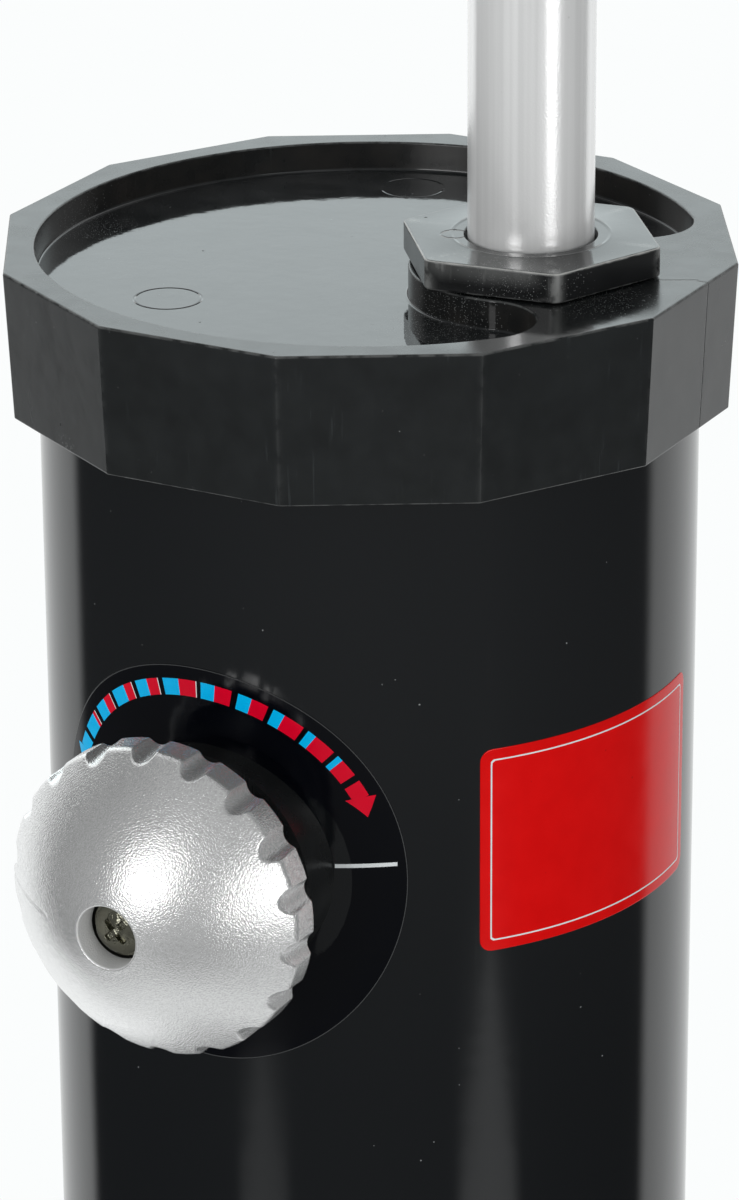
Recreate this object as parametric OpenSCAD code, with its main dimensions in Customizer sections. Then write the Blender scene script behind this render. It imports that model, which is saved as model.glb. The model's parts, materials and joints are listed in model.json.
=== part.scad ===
// Solar outdoor shower. A black pipe holds the water that the sun warms, a knob on its front
// mixes that water with cold, and a riser carries it up to a head on a ball joint.
// Millimetres, +Z up, origin on the ground under the tank's axis, knob facing -Y, riser at +X.

/* [Tank] */
// Outside diameter of the tank pipe
tank_d = 160; // [150:1:180]
// Wall of the tank pipe
tank_wall = 4; // [3:0.5:5]
// Length of the tank pipe
tank_len = 1110; // [900:10:1300]

/* [Top cap] */
// Flat sides round each cap
cap_sides = 12; // [8:1:12]
// Height of the top cap, outside
cap_h = 36.6; // [30:0.2:60]
// Wall of each cap's skirt at the middle of a flat, at the skirt's mouth
cap_wall = 5.05; // [3:0.05:8]
// Growth of a flat from the skirt's mouth to the closed end
cap_draft = 1.7; // [0:0.1:3]
// Width of the top rim at the middle of a flat
rim_w = 6.8; // [5:0.1:10]
// Depth of the round recess in the top
recess_depth = 7.5; // [4:0.5:12]
// Thickness of the cap's plate under the recess
cap_plate = 5.5; // [3:0.5:8]
// Diameter of the island that carries the gland
island_d = 58; // [54:0.5:64]
// Radius that rounds each end of the recess beside the island
tip_r = 14; // [10:0.5:16]

/* [Gland and riser] */
// Outside diameter of the riser
riser_d = 30; // [25:0.5:32]
// Wall of the riser
riser_wall = 1.5; // [1:0.1:2.5]
// Distance from the tank's outer face to the riser's axis
riser_inset = 36.4; // [34:0.1:40]
// Length of riser that stands in its socket, below the rim
riser_seat = 40; // [34:1:50]
// Straight length of the riser above the rim
riser_rise = 930; // [600:1:1100]
// Bend radius of the crook, at the pipe's axis
crook_r = 100; // [90:1:130]
// Straight length past the crook
crook_end = 30; // [16:1:60]
// Gland nut across its flats
nut_af = 56; // [52:0.5:58]
// Thickness of the gland nut's hexagon
nut_h = 7.2; // [5:0.1:12]
// Angle of the tightened nut's first corner from the right
nut_turn = 7.5; // [0:0.5:30]
// Chamfer on the corners of each nut
nut_chamfer = 0.8; // [0.4:0.1:1.2]
// Gap left under the tightened hexagon
nut_gap = 0.4; // [0.1:0.1:1]
// Diameter of the gland nut's threaded shank
shank_d = 44; // [40:0.5:46]
// Length of the gland nut's shank
shank_len = 14; // [10:0.5:20]
// Height of the rubber packing under the shank
packing_h = 6; // [4:0.5:10]

/* [Mixer and knob] */
// Height of the knob's axis below the rim
knob_drop = 131.8; // [110:0.2:160]
// Diameter of the knob over its lobes
knob_d = 76.8; // [70:0.2:90]
// Distance from the tank's face to the knob's back edge
knob_gap = 19; // [18:0.5:26]
// Depth of the knob's straight side
knob_side = 7.6; // [3:0.1:10]
// Height of the knob's dome in front of its side
knob_dome = 22.7; // [18:0.1:30]
// Slope of the dome where it meets the side
dome_slope = 44.3; // [38:0.1:50]
// Wall of the knob
knob_wall = 5.5; // [4.5:0.1:7]
// Finger scoops round the knob
scoops = 18; // [12:1:20]
// Radius of the cutter that makes a scoop
scoop_r = 3.5; // [3:0.1:5]
// Depth of a scoop at the knob's back edge
scoop_depth = 1.35; // [0.5:0.05:2.4]
// Lean of a scoop's floor toward the axis
scoop_lean = 6.5; // [2:0.5:20]
// Angle of the first scoop from the right
scoop_start = 12.6; // [0:0.1:20]
// Diameter of the screw's pocket in the dome
pocket_d = 15.4; // [14:0.1:20]
// Depth of the pocket below the top of the dome
pocket_depth = 8.8; // [7:0.1:10]
// Thickness of the knob under its screw
pocket_floor = 3; // [2:0.5:4]
// Wall round the screw's pocket
pocket_wall = 2.5; // [2:0.5:4]
// Wall of the knob's hub round the spindle
hub_wall = 4.5; // [3:0.5:6]
// Diameter of the knob screw's head
screw_head_d = 12.4; // [10:0.1:13]
// Height of the knob screw's head
screw_head_h = 4.2; // [3:0.1:5]
// Diameter of the flange under the screw's head
screw_flange_d = 14.4; // [13:0.1:15]
// Thickness of the flange under the screw's head
screw_flange_t = 0.9; // [0.6:0.1:1.4]
// Diameter of the knob screw's shank
screw_d = 4; // [3:0.5:5]
// Length of the knob screw's shank
screw_len = 14; // [10:1:20]
// Length of a slot of the screw's cross
cross_len = 6.6; // [5:0.1:8]
// Width of a slot of the screw's cross
cross_w = 1.5; // [1:0.1:2]
// Depth of the screw's cross
cross_depth = 2; // [1:0.1:2.4]
// Diameter of the spindle
spindle_d = 9; // [8:0.5:12]
// Depth of the flat that keys the knob to the spindle
key_flat = 1.2; // [0.5:0.1:2]
// Width of the seal ring on the spindle
ring_w = 2.2; // [1.6:0.1:3]
// Thickness of the seal ring
ring_t = 1.2; // [0.8:0.1:1.5]
// Distance from the knob's back edge to the end of the mixer's neck
neck_inset = 2; // [1:0.5:4]
// Diameter of the mixer's neck, where it passes through the tank
neck_d = 32; // [28:1:36]
// Diameter of the mixer's flange and its inner gasket
flange_d = 52; // [46:1:60]
// Thickness of the mixer's flange
flange_t = 5; // [3:0.5:8]
// Height of the inner gasket's flat face inside the tank wall
gasket_t = 9; // [7:0.5:12]
// Diameter of the outer saddle under the locknut
saddle_d = 60; // [54:1:66]
// Height of the outer saddle's flat face outside the tank wall
saddle_t = 6; // [4:0.5:9]
// Locknut across its flats
locknut_af = 46; // [42:1:54]
// Thickness of the locknut
locknut_t = 7; // [5:0.5:9]
// Diameter of the mixing discs
disc_d = 30; // [26:0.5:34]
// Thickness of each mixing disc
disc_t = 4; // [3:0.5:6]
// Diameter of the spindle's foot
foot_d = 21; // [20:0.5:24]
// Length of the tongue that turns the disc
tongue_len = 18; // [14:0.5:19]
// Width of the tongue
tongue_w = 4; // [3:0.5:6]
// Height of the tongue
tongue_t = 1.4; // [0.8:0.1:1.6]
// Thickness of the spindle's foot
foot_t = 4; // [3:0.5:6]
// Distance from the mixer's flange to the end of its chamber
chamber_inset = 1.5; // [0.5:0.5:4]
// Wall of the mixer's barrel
barrel_wall = 4.5; // [3:0.5:6]
// Depth of the port block's spigot in the barrel
spigot_t = 6; // [4:0.5:10]
// Gap between the mixer's barrel and the port block's sockets
port_gap = 1.5; // [0.5:0.5:6]
// Thickness of the port block's flange
port_flange_t = 4; // [3:0.5:6]
// Step from the port block's flange in to its body
block_step = 3; // [2:0.5:4]
// Distance of a duct from the middle of the discs
duct_ring = 8.2; // [7:0.1:9]
// Diameter of a duct through the discs and the port block
duct_d = 7; // [5:0.5:8]

/* [Pipes inside the tank] */
// Outside diameter of the cold and hot pipes
pipe_d = 16; // [12:0.5:18]
// Wall of the cold and hot pipes
pipe_wall = 2; // [1:0.25:3]
// Depth of a pipe in its socket
pipe_seat = 12; // [8:1:16]
// Wall round a pipe socket
socket_wall = 3.5; // [2.5:0.5:5]
// Thickness of a pipe socket's floor
socket_floor = 2; // [1.5:0.5:4]
// Gap between the hot pickup's open end and the top cap
pickup_gap = 25; // [15:1:40]
// Outside diameter of the outlet hose
hose_d = 18; // [16:0.5:20]
// Wall of the outlet hose
hose_wall = 2.8; // [2:0.1:3.5]
// Bend radius of the outlet hose, at its axis
hose_bend = 22; // [20:1:24]
// Length of the hose tail under the cap
tail_len = 18; // [14:1:24]
// Wall of the hose tails
tail_wall = 2; // [1.5:0.1:2.5]
// Width of a hose clip's band
clip_w = 7; // [5:0.5:8]
// Thickness of a hose clip's band
clip_t = 1; // [0.6:0.1:1.5]
// Distance from a hose's end to its clip
clip_inset = 1; // [0.5:0.5:2]
// Width of a hose clip's screw housing
housing_w = 10; // [8:0.5:12]
// Height of a hose clip's screw housing
housing_h = 6; // [4:0.5:7]

/* [Base] */
// Diameter of the base plate
base_d = 232; // [220:1:280]
// Thickness of the base plate, and height of the tank's foot
base_t = 8; // [6:0.5:14]
// Height of the base's socket above the ground
base_h = 46; // [36:1:52]
// Circle of the ground anchors
anchor_pcd = 208; // [204:1:240]
// Diameter of an anchor hole
anchor_hole_d = 10.5; // [8:0.5:13]
// Ground anchor holes
anchors = 4; // [3:1:6]
// Height of a gusset where it meets the socket
gusset_h = 26; // [14:1:30]
// Height of a gusset at its toe
gusset_toe = 2; // [1:0.5:4]
// Distance from a gusset's toe to the edge of the plate
gusset_inset = 3; // [2:0.5:6]
// Thickness of a gusset
gusset_t = 5; // [3:0.5:8]

/* [Inlet and drain] */
// Height of the hose inlet's axis
inlet_z = 122; // [115:1:200]
// Height of the drain's axis
drain_z = 72; // [66:1:80]
// Diameter of the inlet's tail through the tank wall
inlet_d = 19; // [17:0.5:22]
// Bore of the inlet
inlet_bore = 12; // [9:0.5:13]
// Inlet's fixed hexagon across its flats
inlet_af = 32; // [30:0.5:36]
// Thickness of a fixed hexagon
hex_t = 6; // [4:0.5:8]
// Diameter of the inlet's outer thread
thread_d = 26.4; // [24:0.2:28]
// Length of the inlet's outer thread
thread_len = 12; // [10:0.5:16]
// Thickness of the rubber saddles under the inlet and the drain
rubber_t = 4; // [3:0.5:6]
// Step from a fixed hexagon in to its rubber saddle
saddle_step = 1; // [0.5:0.5:2]
// Thickness of the back nuts inside the tank
backnut_t = 7; // [5:0.5:9]
// Back nuts, added across their flats to the tail they hold
backnut_grow = 11; // [9:0.5:14]
// Depth of the inlet's tail in the feed pipe's socket
feed_seat = 14; // [10:1:18]
// Gap between the feed pipe's socket and the back nut
feed_gap = 2; // [1:0.5:4]
// Diameter of the hose adaptor's collar
collar_d = 33; // [31.5:0.5:38]
// Grip ribs round the hose adaptor's collar
collar_ribs = 18; // [10:1:24]
// Thickness of the collar's end wall
collar_end = 3; // [2:0.5:5]
// Width of a grip rib
rib_w = 1.6; // [1:0.1:2]
// Height of a grip rib
rib_h = 0.6; // [0.3:0.1:1]
// Diameter of the hose adaptor's nose
nose_d = 17; // [16:0.5:18]
// Length of the hose adaptor's nose
nose_len = 22; // [18:1:28]
// Height of the cone at the root of the nose
nose_root = 3; // [2:0.5:4]
// Length of the narrow tip of the nose
nose_tip = 7; // [6:0.5:9]
// Step in to the tip of the nose
nose_step = 2.2; // [1.5:0.1:2.4]
// Chamfer at the end of the tip
nose_edge = 0.6; // [0.3:0.1:0.8]
// Bore of the hose adaptor's nose
nose_bore = 9; // [7:0.5:9]
// Thickness of the hose adaptor's flat washer
washer_t = 3; // [2:0.5:4]
// Diameter of the drain's tail through the tank wall
drain_d = 18; // [16:0.5:20]
// Drain's fixed hexagon across its flats
drain_af = 27; // [25:0.5:30]
// Length of the drain's tail past its back nut
drain_tail = 3; // [2:0.5:6]
// Diameter of the drain plug's thread
plug_d = 12; // [10:0.5:13]
// Length of the drain plug's thread
plug_len = 14; // [10:1:18]
// Length of the drain plug's grip
plug_grip = 9; // [6:0.5:14]
// Diameter of the drain plug's grip
plug_grip_d = 22; // [21:0.5:26]
// Ribs round the drain plug's grip
plug_ribs = 14; // [10:1:18]
// Width and depth of the coin slot in the drain plug
plug_slot = 2; // [1.5:0.1:3]
// Diameter of the drain plug's washer
plug_washer_d = 20; // [18:0.5:20]
// Thickness of the drain plug's washer
plug_washer_t = 2; // [1.5:0.5:3]

/* [Shower head] */
// Diameter of the shower head
head_d = 150; // [120:1:200]
// Depth of the head's straight rim
head_rim = 11; // [9:0.5:16]
// Height of the head's dome over its rim
head_dome = 20; // [14:1:28]
// Wall of the head
head_wall = 3; // [2:0.5:4]
// Diameter of the ball
ball_d = 22; // [20:0.5:26]
// Diameter of the ball's neck
ball_neck_d = 10; // [8:0.5:10]
// Water bore through the ball
ball_bore = 6; // [4:0.5:6]
// Thickness of the liner under the ball
liner_t = 2; // [1.5:0.1:3]
// Distance from the ball's middle down to the liner's rim
liner_drop = 3; // [2:0.5:4]
// Water hole through the liner and the head's cup
cup_bore = 10; // [9:0.5:11]
// Distance from the ball's middle up to the stud's collar
stud_neck = 17.5; // [16.5:0.5:22]
// Thickness of the stud's collar
stud_collar_t = 2; // [1:0.5:4]
// Depth of the stud's plug in the riser
stud_plug = 12; // [8:1:15]
// Angle from the ball's top to the lip that holds it
lip_angle = 50; // [47:1:52]
// Thickness of the lip
lip_t = 3.2; // [2.5:0.1:3.6]
// Slope of the lip's mouth, which lets the neck tilt
lip_slope = 31; // [25:1:35]
// Height of the head's threaded neck over the ball's middle
head_neck = 1; // [0.5:0.5:1.5]
// Thickness of the packing on the neck
head_packing_t = 3; // [2.5:0.5:3.5]
// Diameter of the thread that the head's nut turns on
head_thread_d = 31; // [30.5:0.5:36]
// Diameter of the head's nut
head_nut_d = 38; // [37:0.5:44]
// Depth of the head's nut below the ball's middle
nut_reach = 10; // [9:0.5:12]
// Thickness of the shoulder under the head's nut
shoulder_t = 3; // [2:0.5:5]
// Step from the head's nut in to the shoulder
shoulder_step = 1; // [0.5:0.5:2]
// Grip ribs round the head's nut
head_nut_ribs = 20; // [12:1:28]
// Thickness of the spray plate
plate_t = 3; // [2:0.5:4]
// Thickness of the nozzle mat behind the plate
mat_t = 2; // [1.5:0.5:3]
// Step from the plate's edge in to the mat's edge
mat_step = 1; // [0.5:0.5:3]
// Diameter of a nozzle
nozzle_d = 4; // [3:0.5:6]
// Narrowing of a nozzle toward its tip
nozzle_taper = 1; // [0.5:0.1:1.4]
// Diameter of the jet through a nozzle
jet_d = 1.3; // [0.8:0.1:1.4]
// Length of a nozzle past the plate
nozzle_len = 2.5; // [1:0.5:4]
// Rings of nozzles
nozzle_rings = 4; // [2:1:5]
// Distance from one ring of nozzles to the next
nozzle_pitch = 15; // [12:0.5:15]

/* [Clearances] */
// Gap between glued or screwed pieces, each side
seat_gap = 0.1; // [0.05:0.01:0.2]
// Gap round a turning shaft or ball, each side
turn_gap = 0.06; // [0.02:0.01:0.1]
// Gap between pieces that move past each other
free_gap = 0.4; // [0.3:0.1:0.8]

/* [Hidden] */
$fn = 72;
// Overshoot of a cutter past the face that it opens
over = 1;

// Tank and caps
tank_r = tank_d / 2;
tank_ri = tank_r - tank_wall;
socket_r = tank_r + seat_gap;
skirt_flat = socket_r + cap_wall;
closed_flat = skirt_flat + cap_draft;
tank_top = base_t + tank_len;
rim_z = tank_top + cap_plate + recess_depth;
recess_r = closed_flat - rim_w;

// Gland, measured down from the rim
riser_r = riser_d / 2;
riser_x = tank_r - riser_inset;
island_r = island_d / 2;
shank_r = shank_d / 2;
packing_z = shank_len + packing_h;
gland_r = shank_r + seat_gap + socket_wall;
gland_depth = riser_seat + socket_wall;

// Hose between the port block and the riser's socket
hose_r = hose_d / 2;
hose_ri = hose_r - hose_wall;
tail_r = hose_ri - seat_gap;
tail_bore_r = tail_r - tail_wall;

// Mixer and knob, measured out from the tank's axis along the knob's axis
knob_z = rim_z - knob_drop;
knob_r = knob_d / 2;
neck_r = neck_d / 2;
disc_r = disc_d / 2;
spindle_r = spindle_d / 2;
chamber_r = disc_r + seat_gap;
barrel_r = chamber_r + barrel_wall;
flange_out = tank_ri - gasket_t;
flange_in = flange_out - flange_t;
chamber_out = flange_in - chamber_inset;
rotor_out = chamber_out - foot_t - turn_gap;
stator_out = rotor_out - disc_t;
block_out = stator_out - disc_t;
barrel_in = block_out - spigot_t;
saddle_out = tank_r + saddle_t;
knob_back = tank_r + knob_gap;
knob_edge = knob_back + knob_side;
knob_top = knob_edge + knob_dome;
crown_r = (knob_r * tan(dome_slope) - knob_dome) / (tan(dome_slope) - tan(dome_slope / 2));
dome_r = crown_r / sin(dome_slope);
dome_s = knob_top - dome_r;
pocket_s = knob_top - pocket_depth;
neck_out = knob_back - neck_inset;
spindle_out = pocket_s - pocket_floor;
hub_in = neck_out + free_gap;
hub_r = spindle_r + hub_wall;
ring_s = (flange_out + neck_out) / 2;

// Pipes
pipe_r = pipe_d / 2;
pipe_ri = pipe_r - pipe_wall;
port_wall_r = pipe_r + seat_gap + socket_wall;
port_floor = port_wall_r + socket_floor;
port_len = port_floor + pipe_seat;
port_s = barrel_in - port_gap - port_wall_r;
hose_turn = atan2(port_s, riser_x);
hose_run = norm([riser_x, port_s]);
stub_end = hose_run - hose_bend;
block_r = barrel_r - block_step;
hose_start = norm([block_r, port_wall_r]) + free_gap;
hose_top = rim_z - gland_depth - free_gap;

// Inlet and drain, measured out from the tank's axis along +Y
inlet_r = inlet_d / 2;
inlet_hex = tank_r + rubber_t;
thread_in = inlet_hex + hex_t;
thread_out = thread_in + thread_len;
feed_r = inlet_r + seat_gap + socket_wall;
backnut_corner = (inlet_d + backnut_grow) / 2 / cos(30);
inlet_nut_out = seat_on_wall(backnut_corner);
inlet_in = inlet_nut_out - backnut_t - feed_seat - feed_gap;
drain_r = drain_d / 2;
drain_corner = (drain_d + backnut_grow) / 2 / cos(30);
drain_nut_out = seat_on_wall(drain_corner);
drain_in = drain_nut_out - backnut_t - drain_tail;
drain_hex = tank_r + rubber_t;
drain_out = drain_hex + hex_t;
plug_r = plug_d / 2;
plug_out = drain_out + plug_washer_t;

// Head, measured down the crook's end from the centre of the ball
ball_r = ball_d / 2;
liner_r = ball_r + turn_gap + liner_t;
head_r = head_d / 2;
head_thread_r = head_thread_d / 2;
head_nut_r = head_nut_d / 2;
cup_r = liner_r + turn_gap;
lip_r = ball_r + free_gap;
lip_z = lip_r * cos(lip_angle);
mouth_r = lip_r * sin(lip_angle);
seal_z = head_neck + head_packing_t;
nut_foot = -nut_reach;
shoulder_z = nut_foot - free_gap;
dome_top_z = shoulder_z - shoulder_t;
rim_top_z = dome_top_z - head_dome;
face_z = rim_top_z - head_rim;
plate_r = head_r - head_wall - seat_gap;
nut_top = lip_z + lip_t;
head_dome_r = (head_r * head_r + head_dome * head_dome) / (2 * head_dome);
ball_drop = stud_neck + stud_collar_t;

// Crook
crook_z = rim_z + riser_rise;
ball_z = crook_z - crook_end - ball_drop;

// A flat-faced nut with this corner radius meets the inside of the tank here
function seat_on_wall(corner) = sqrt(tank_ri * tank_ri - corner * corner) - 2 * seat_gap;

// Shapes that several pieces share

// A round tube standing on z = 0
module tube(r_out, r_in, h) {
    difference() {
        cylinder(r = r_out, h = h);
        translate([0, 0, -over]) cylinder(r = r_in, h = h + 2 * over);
    }
}

// A bent tube that turns about z, from the x axis
module pipe_bend(bend_r, r_out, r_in, turn) {
    rotate_extrude(angle = turn) translate([bend_r, 0]) difference() {
        circle(r = r_out);
        circle(r = r_in);
    }
}

// A flat-sided prism whose flats lie at r_low below and r_high above
module flat_sided(r_low, r_high, h) {
    c = cos(180 / cap_sides);
    rotate([0, 0, 180 / cap_sides]) cylinder(r1 = r_low / c, r2 = r_high / c, h = h, $fn = cap_sides);
}

// A hexagon across its flats, with the round chamfer of a nut on its top
module hexagon(af, h, chamfer = nut_chamfer) {
    corner = af / 2 / cos(30);
    intersection() {
        cylinder(r = corner, h = h, $fn = 6);
        rotate_extrude() polygon([
            [0, 0], [corner + over, 0], [corner + over, h - chamfer - over * tan(30)],
            [corner - chamfer / tan(30), h], [0, h]
        ]);
    }
}

// The knob's axis: z runs out of the tank's front, x to the right, y up
module front() {
    translate([0, 0, knob_z]) rotate([90, 0, 0]) children();
}

// A fitting on the tank's back: z runs out of the tank, x to the right seen from the front
module back(height) {
    translate([0, 0, height]) rotate([-90, 0, 0]) children();
}

// The tank's wall as a solid bar of this radius, seen from a fitting's own axis
module tank_bar(r) {
    rotate([90, 0, 0]) cylinder(r = r, h = 4 * tank_d, center = true, $fn = 144);
}

// The riser's socket: z runs up from the rim plane
module at_riser() {
    translate([riser_x, 0, rim_z]) children();
}

// The ball: z runs back up the crook's end
module at_ball() {
    translate([riser_x, -2 * crook_r, ball_z]) children();
}

// Rubber or plastic ring that fits the tank's outer face and gives a flat face at s_out
module outer_saddle(r_out, r_in, s_out) {
    difference() {
        translate([0, 0, tank_ri - tank_wall]) cylinder(r = r_out, h = s_out - tank_ri + tank_wall);
        tank_bar(tank_r);
        cylinder(r = r_in, h = s_out + over);
    }
}

// Plain hexagon nut between two places on a fitting's axis
module back_nut(af, r_in, s_in, s_out) {
    translate([0, 0, s_in]) difference() {
        hexagon(af, s_out - s_in, 0);
        translate([0, 0, -over]) cylinder(r = r_in, h = s_out - s_in + 2 * over);
    }
}

// Round bar with shallow grip ribs
module ribbed_bar(r, h, ribs) {
    linear_extrude(h) {
        circle(r = r - rib_h);
        for (i = [0 : ribs - 1]) rotate(360 * (i + 0.5) / ribs)
            translate([r - rib_h - over, -rib_w / 2]) square([rib_h + over, rib_w]);
    }
}

// Base and tank

module base_flange() color([0.07, 0.07, 0.075]) difference() {
    union() {
        cylinder(d = base_d, h = base_t, $fn = 144);
        flat_sided(closed_flat, skirt_flat, base_h);
        for (i = [0 : cap_sides - 1]) rotate([0, 0, 360 * i / cap_sides]) gusset();
    }
    translate([0, 0, base_t]) cylinder(r = socket_r, h = base_h, $fn = 144);
    for (i = [0 : anchors - 1]) rotate([0, 0, 360 / anchors * (i + 0.5)])
        translate([anchor_pcd / 2, 0, -over]) cylinder(d = anchor_hole_d, h = base_t + 2 * over);
}

// Triangular web from a flat of the socket to the edge of the plate
module gusset() {
    reach = base_d / 2 - gusset_inset;
    root = socket_r + cap_wall / 2;
    rotate([90, 0, 0]) translate([0, 0, -gusset_t / 2]) linear_extrude(gusset_t) polygon([
        [root, base_t - over], [reach, base_t - over], [reach, base_t + gusset_toe],
        [skirt_flat, base_t + gusset_h], [root, base_t + gusset_h]
    ]);
}

module tank_tube() color([0.02, 0.02, 0.022]) difference() {
    translate([0, 0, base_t]) tube(tank_r, tank_ri, tank_len, $fn = 144);
    front() cylinder(r = neck_r + seat_gap, h = tank_d);
    back(inlet_z) cylinder(r = inlet_r + seat_gap, h = tank_d);
    back(drain_z) cylinder(r = drain_r + seat_gap, h = tank_d);
}

// Top cap: flat-sided skirt, round recess broken by the gland's island, riser socket and hose tail

module top_cap() color([0.06, 0.06, 0.065]) translate([0, 0, rim_z]) difference() {
    union() {
        difference() {
            translate([0, 0, -cap_h]) flat_sided(skirt_flat, closed_flat, cap_h);
            translate([0, 0, -cap_h - over])
                cylinder(r = socket_r, h = cap_h + over - recess_depth - cap_plate, $fn = 144);
            translate([0, 0, -recess_depth]) linear_extrude(recess_depth + over) recess_plan();
        }
        translate([riser_x, 0, -gland_depth]) cylinder(r = gland_r, h = gland_depth - recess_depth - over);
        translate([riser_x, 0, -gland_depth - tail_len]) cylinder(r = tail_r, h = tail_len + over);
    }
    translate([riser_x, 0, -packing_z]) cylinder(r = shank_r + seat_gap, h = packing_z + over);
    translate([riser_x, 0, -riser_seat]) cylinder(r = riser_r + turn_gap, h = riser_seat);
    translate([riser_x, 0, -gland_depth - tail_len - over])
        cylinder(r = tail_bore_r, h = gland_depth + tail_len);
}

// Outline of the recess: a circle less the island, with the two ends beside the island rounded off
module recess_plan() {
    difference() {
        circle(r = recess_r, $fn = 144);
        translate([riser_x, 0]) circle(r = island_r);
        for (side = [0, 1]) mirror([0, side]) recess_end();
    }
}

// The rim's web between the recess and the island, cut back by a circle that touches both of them
module recess_end() {
    reach_rim = recess_r - tip_r;
    reach_island = island_r + tip_r;
    x = (reach_rim * reach_rim - reach_island * reach_island + riser_x * riser_x) / (2 * riser_x);
    y = sqrt(reach_rim * reach_rim - x * x);
    hair = 0.02;
    difference() {
        polygon([
            [x, y], [x, y] * (recess_r + over) / reach_rim, [recess_r + tip_r, y],
            [recess_r + tip_r, 0], [riser_x, 0],
            [riser_x, 0] + ([x, y] - [riser_x, 0]) * (island_r - over) / reach_island
        ]);
        translate([x, y]) circle(r = tip_r + hair);
    }
}

module gland_nut() color([0.05, 0.05, 0.055]) at_riser() difference() {
    union() {
        translate([0, 0, nut_gap]) rotate([0, 0, nut_turn]) hexagon(nut_af, nut_h);
        translate([0, 0, -shank_len]) cylinder(r = shank_r, h = shank_len + nut_gap + over);
    }
    translate([0, 0, -shank_len - over]) cylinder(r = riser_r + turn_gap, h = shank_len + nut_h + 3 * over);
}

module gland_packing() color([0.1, 0.1, 0.1]) at_riser()
    translate([0, 0, -packing_z]) tube(shank_r, riser_r + turn_gap, packing_h);

// Hose inlet on the back

module inlet_bulkhead() color([0.08, 0.08, 0.085]) back(inlet_z) difference() {
    union() {
        translate([0, 0, inlet_in]) cylinder(r = inlet_r, h = inlet_hex - inlet_in + over);
        translate([0, 0, inlet_hex]) hexagon(inlet_af, hex_t);
        translate([0, 0, thread_in - over]) cylinder(d = thread_d, h = thread_len + over);
    }
    translate([0, 0, inlet_in - over]) cylinder(d = inlet_bore, h = thread_out - inlet_in + 2 * over);
}

module inlet_saddle() color([0.12, 0.12, 0.12]) back(inlet_z)
    outer_saddle(inlet_af / 2 - saddle_step, inlet_r + seat_gap, inlet_hex);

module inlet_backnut() color([0.1, 0.1, 0.1]) back(inlet_z)
    back_nut(inlet_d + backnut_grow, inlet_r + seat_gap, inlet_nut_out - backnut_t, inlet_nut_out);

// Screw-on adaptor: ribbed collar over the thread, then the nose that a hose coupling snaps on
module inlet_adaptor() color([0.1, 0.1, 0.105]) back(inlet_z) {
    collar_in = thread_in + free_gap;
    collar_out = thread_out + washer_t + collar_end;
    nose_r = nose_d / 2;
    tip_edge = nose_r - nose_step;
    difference() {
        union() {
            translate([0, 0, collar_in])
                ribbed_bar(collar_d / 2, collar_out - collar_in, collar_ribs);
            translate([0, 0, collar_out]) rotate_extrude() polygon([
                [0, -over], [nose_r + nose_root, -over], [nose_r + nose_root, 0], [nose_r, nose_root],
                [nose_r, nose_len - nose_tip], [tip_edge, nose_len - nose_tip + nose_step],
                [tip_edge, nose_len - nose_edge], [tip_edge - nose_edge, nose_len], [0, nose_len]
            ]);
        }
        translate([0, 0, collar_in - over])
            cylinder(r = thread_d / 2 + seat_gap, h = thread_out + washer_t - collar_in + over);
        cylinder(d = nose_bore, h = collar_out + nose_len + over);
    }
}

module inlet_washer() color([0.15, 0.15, 0.15]) back(inlet_z)
    translate([0, 0, thread_out]) tube(thread_d / 2, inlet_bore / 2, washer_t);

// Pipe from the inlet to the middle of the tank: a hole below lets the tank fill,
// and a socket on top takes the cold pipe
module feed_pipe() color([0.75, 0.75, 0.73]) back(inlet_z) difference() {
    union() {
        translate([0, 0, -port_s]) cylinder(r = feed_r, h = inlet_in + feed_seat + port_s);
        translate([0, 0, -port_s]) sphere(r = feed_r);
        translate([0, 0, -port_s]) rotate([90, 0, 0]) cylinder(r = port_wall_r, h = feed_r + pipe_seat);
    }
    translate([0, 0, inlet_in]) cylinder(r = inlet_r + seat_gap, h = feed_seat + over);
    translate([0, 0, -port_s]) cylinder(d = inlet_bore, h = inlet_in + port_s + over);
    translate([0, 0, -port_s]) rotate([90, 0, 0]) cylinder(r = pipe_ri, h = feed_r + over);
    translate([0, 0, -port_s]) rotate([90, 0, 0]) translate([0, 0, feed_r])
        cylinder(r = pipe_r + seat_gap, h = pipe_seat + over);
    rotate([-90, 0, 0]) cylinder(d = inlet_bore / 2, h = feed_r + over);
}

module cold_pipe() color([0.85, 0.85, 0.83])
    translate([0, -port_s, inlet_z + feed_r])
        tube(pipe_r, pipe_ri, knob_z - port_floor - inlet_z - feed_r);

// Drain on the back, near the ground

module drain_bushing() color([0.08, 0.08, 0.085]) back(drain_z) difference() {
    union() {
        translate([0, 0, drain_in]) cylinder(r = drain_r, h = drain_hex - drain_in + over);
        translate([0, 0, drain_hex]) hexagon(drain_af, hex_t);
    }
    translate([0, 0, drain_in - over]) cylinder(r = plug_r + seat_gap, h = drain_out - drain_in + 2 * over);
}

module drain_saddle() color([0.12, 0.12, 0.12]) back(drain_z)
    outer_saddle(drain_af / 2 - saddle_step, drain_r + seat_gap, drain_hex);

module drain_backnut() color([0.1, 0.1, 0.1]) back(drain_z)
    back_nut(drain_d + backnut_grow, drain_r + seat_gap, drain_nut_out - backnut_t, drain_nut_out);

module drain_plug() color([0.07, 0.07, 0.075]) back(drain_z) difference() {
    union() {
        translate([0, 0, plug_out - plug_len]) cylinder(r = plug_r, h = plug_len + over);
        translate([0, 0, plug_out]) ribbed_bar(plug_grip_d / 2, plug_grip, plug_ribs);
    }
    translate([0, 0, plug_out + plug_grip])
        cube([plug_slot, plug_grip_d + 2 * over, 2 * plug_slot], center = true);
}

module plug_washer() color([0.15, 0.15, 0.15]) back(drain_z)
    translate([0, 0, drain_out]) tube(plug_washer_d / 2, plug_r + seat_gap, plug_washer_t);

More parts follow.
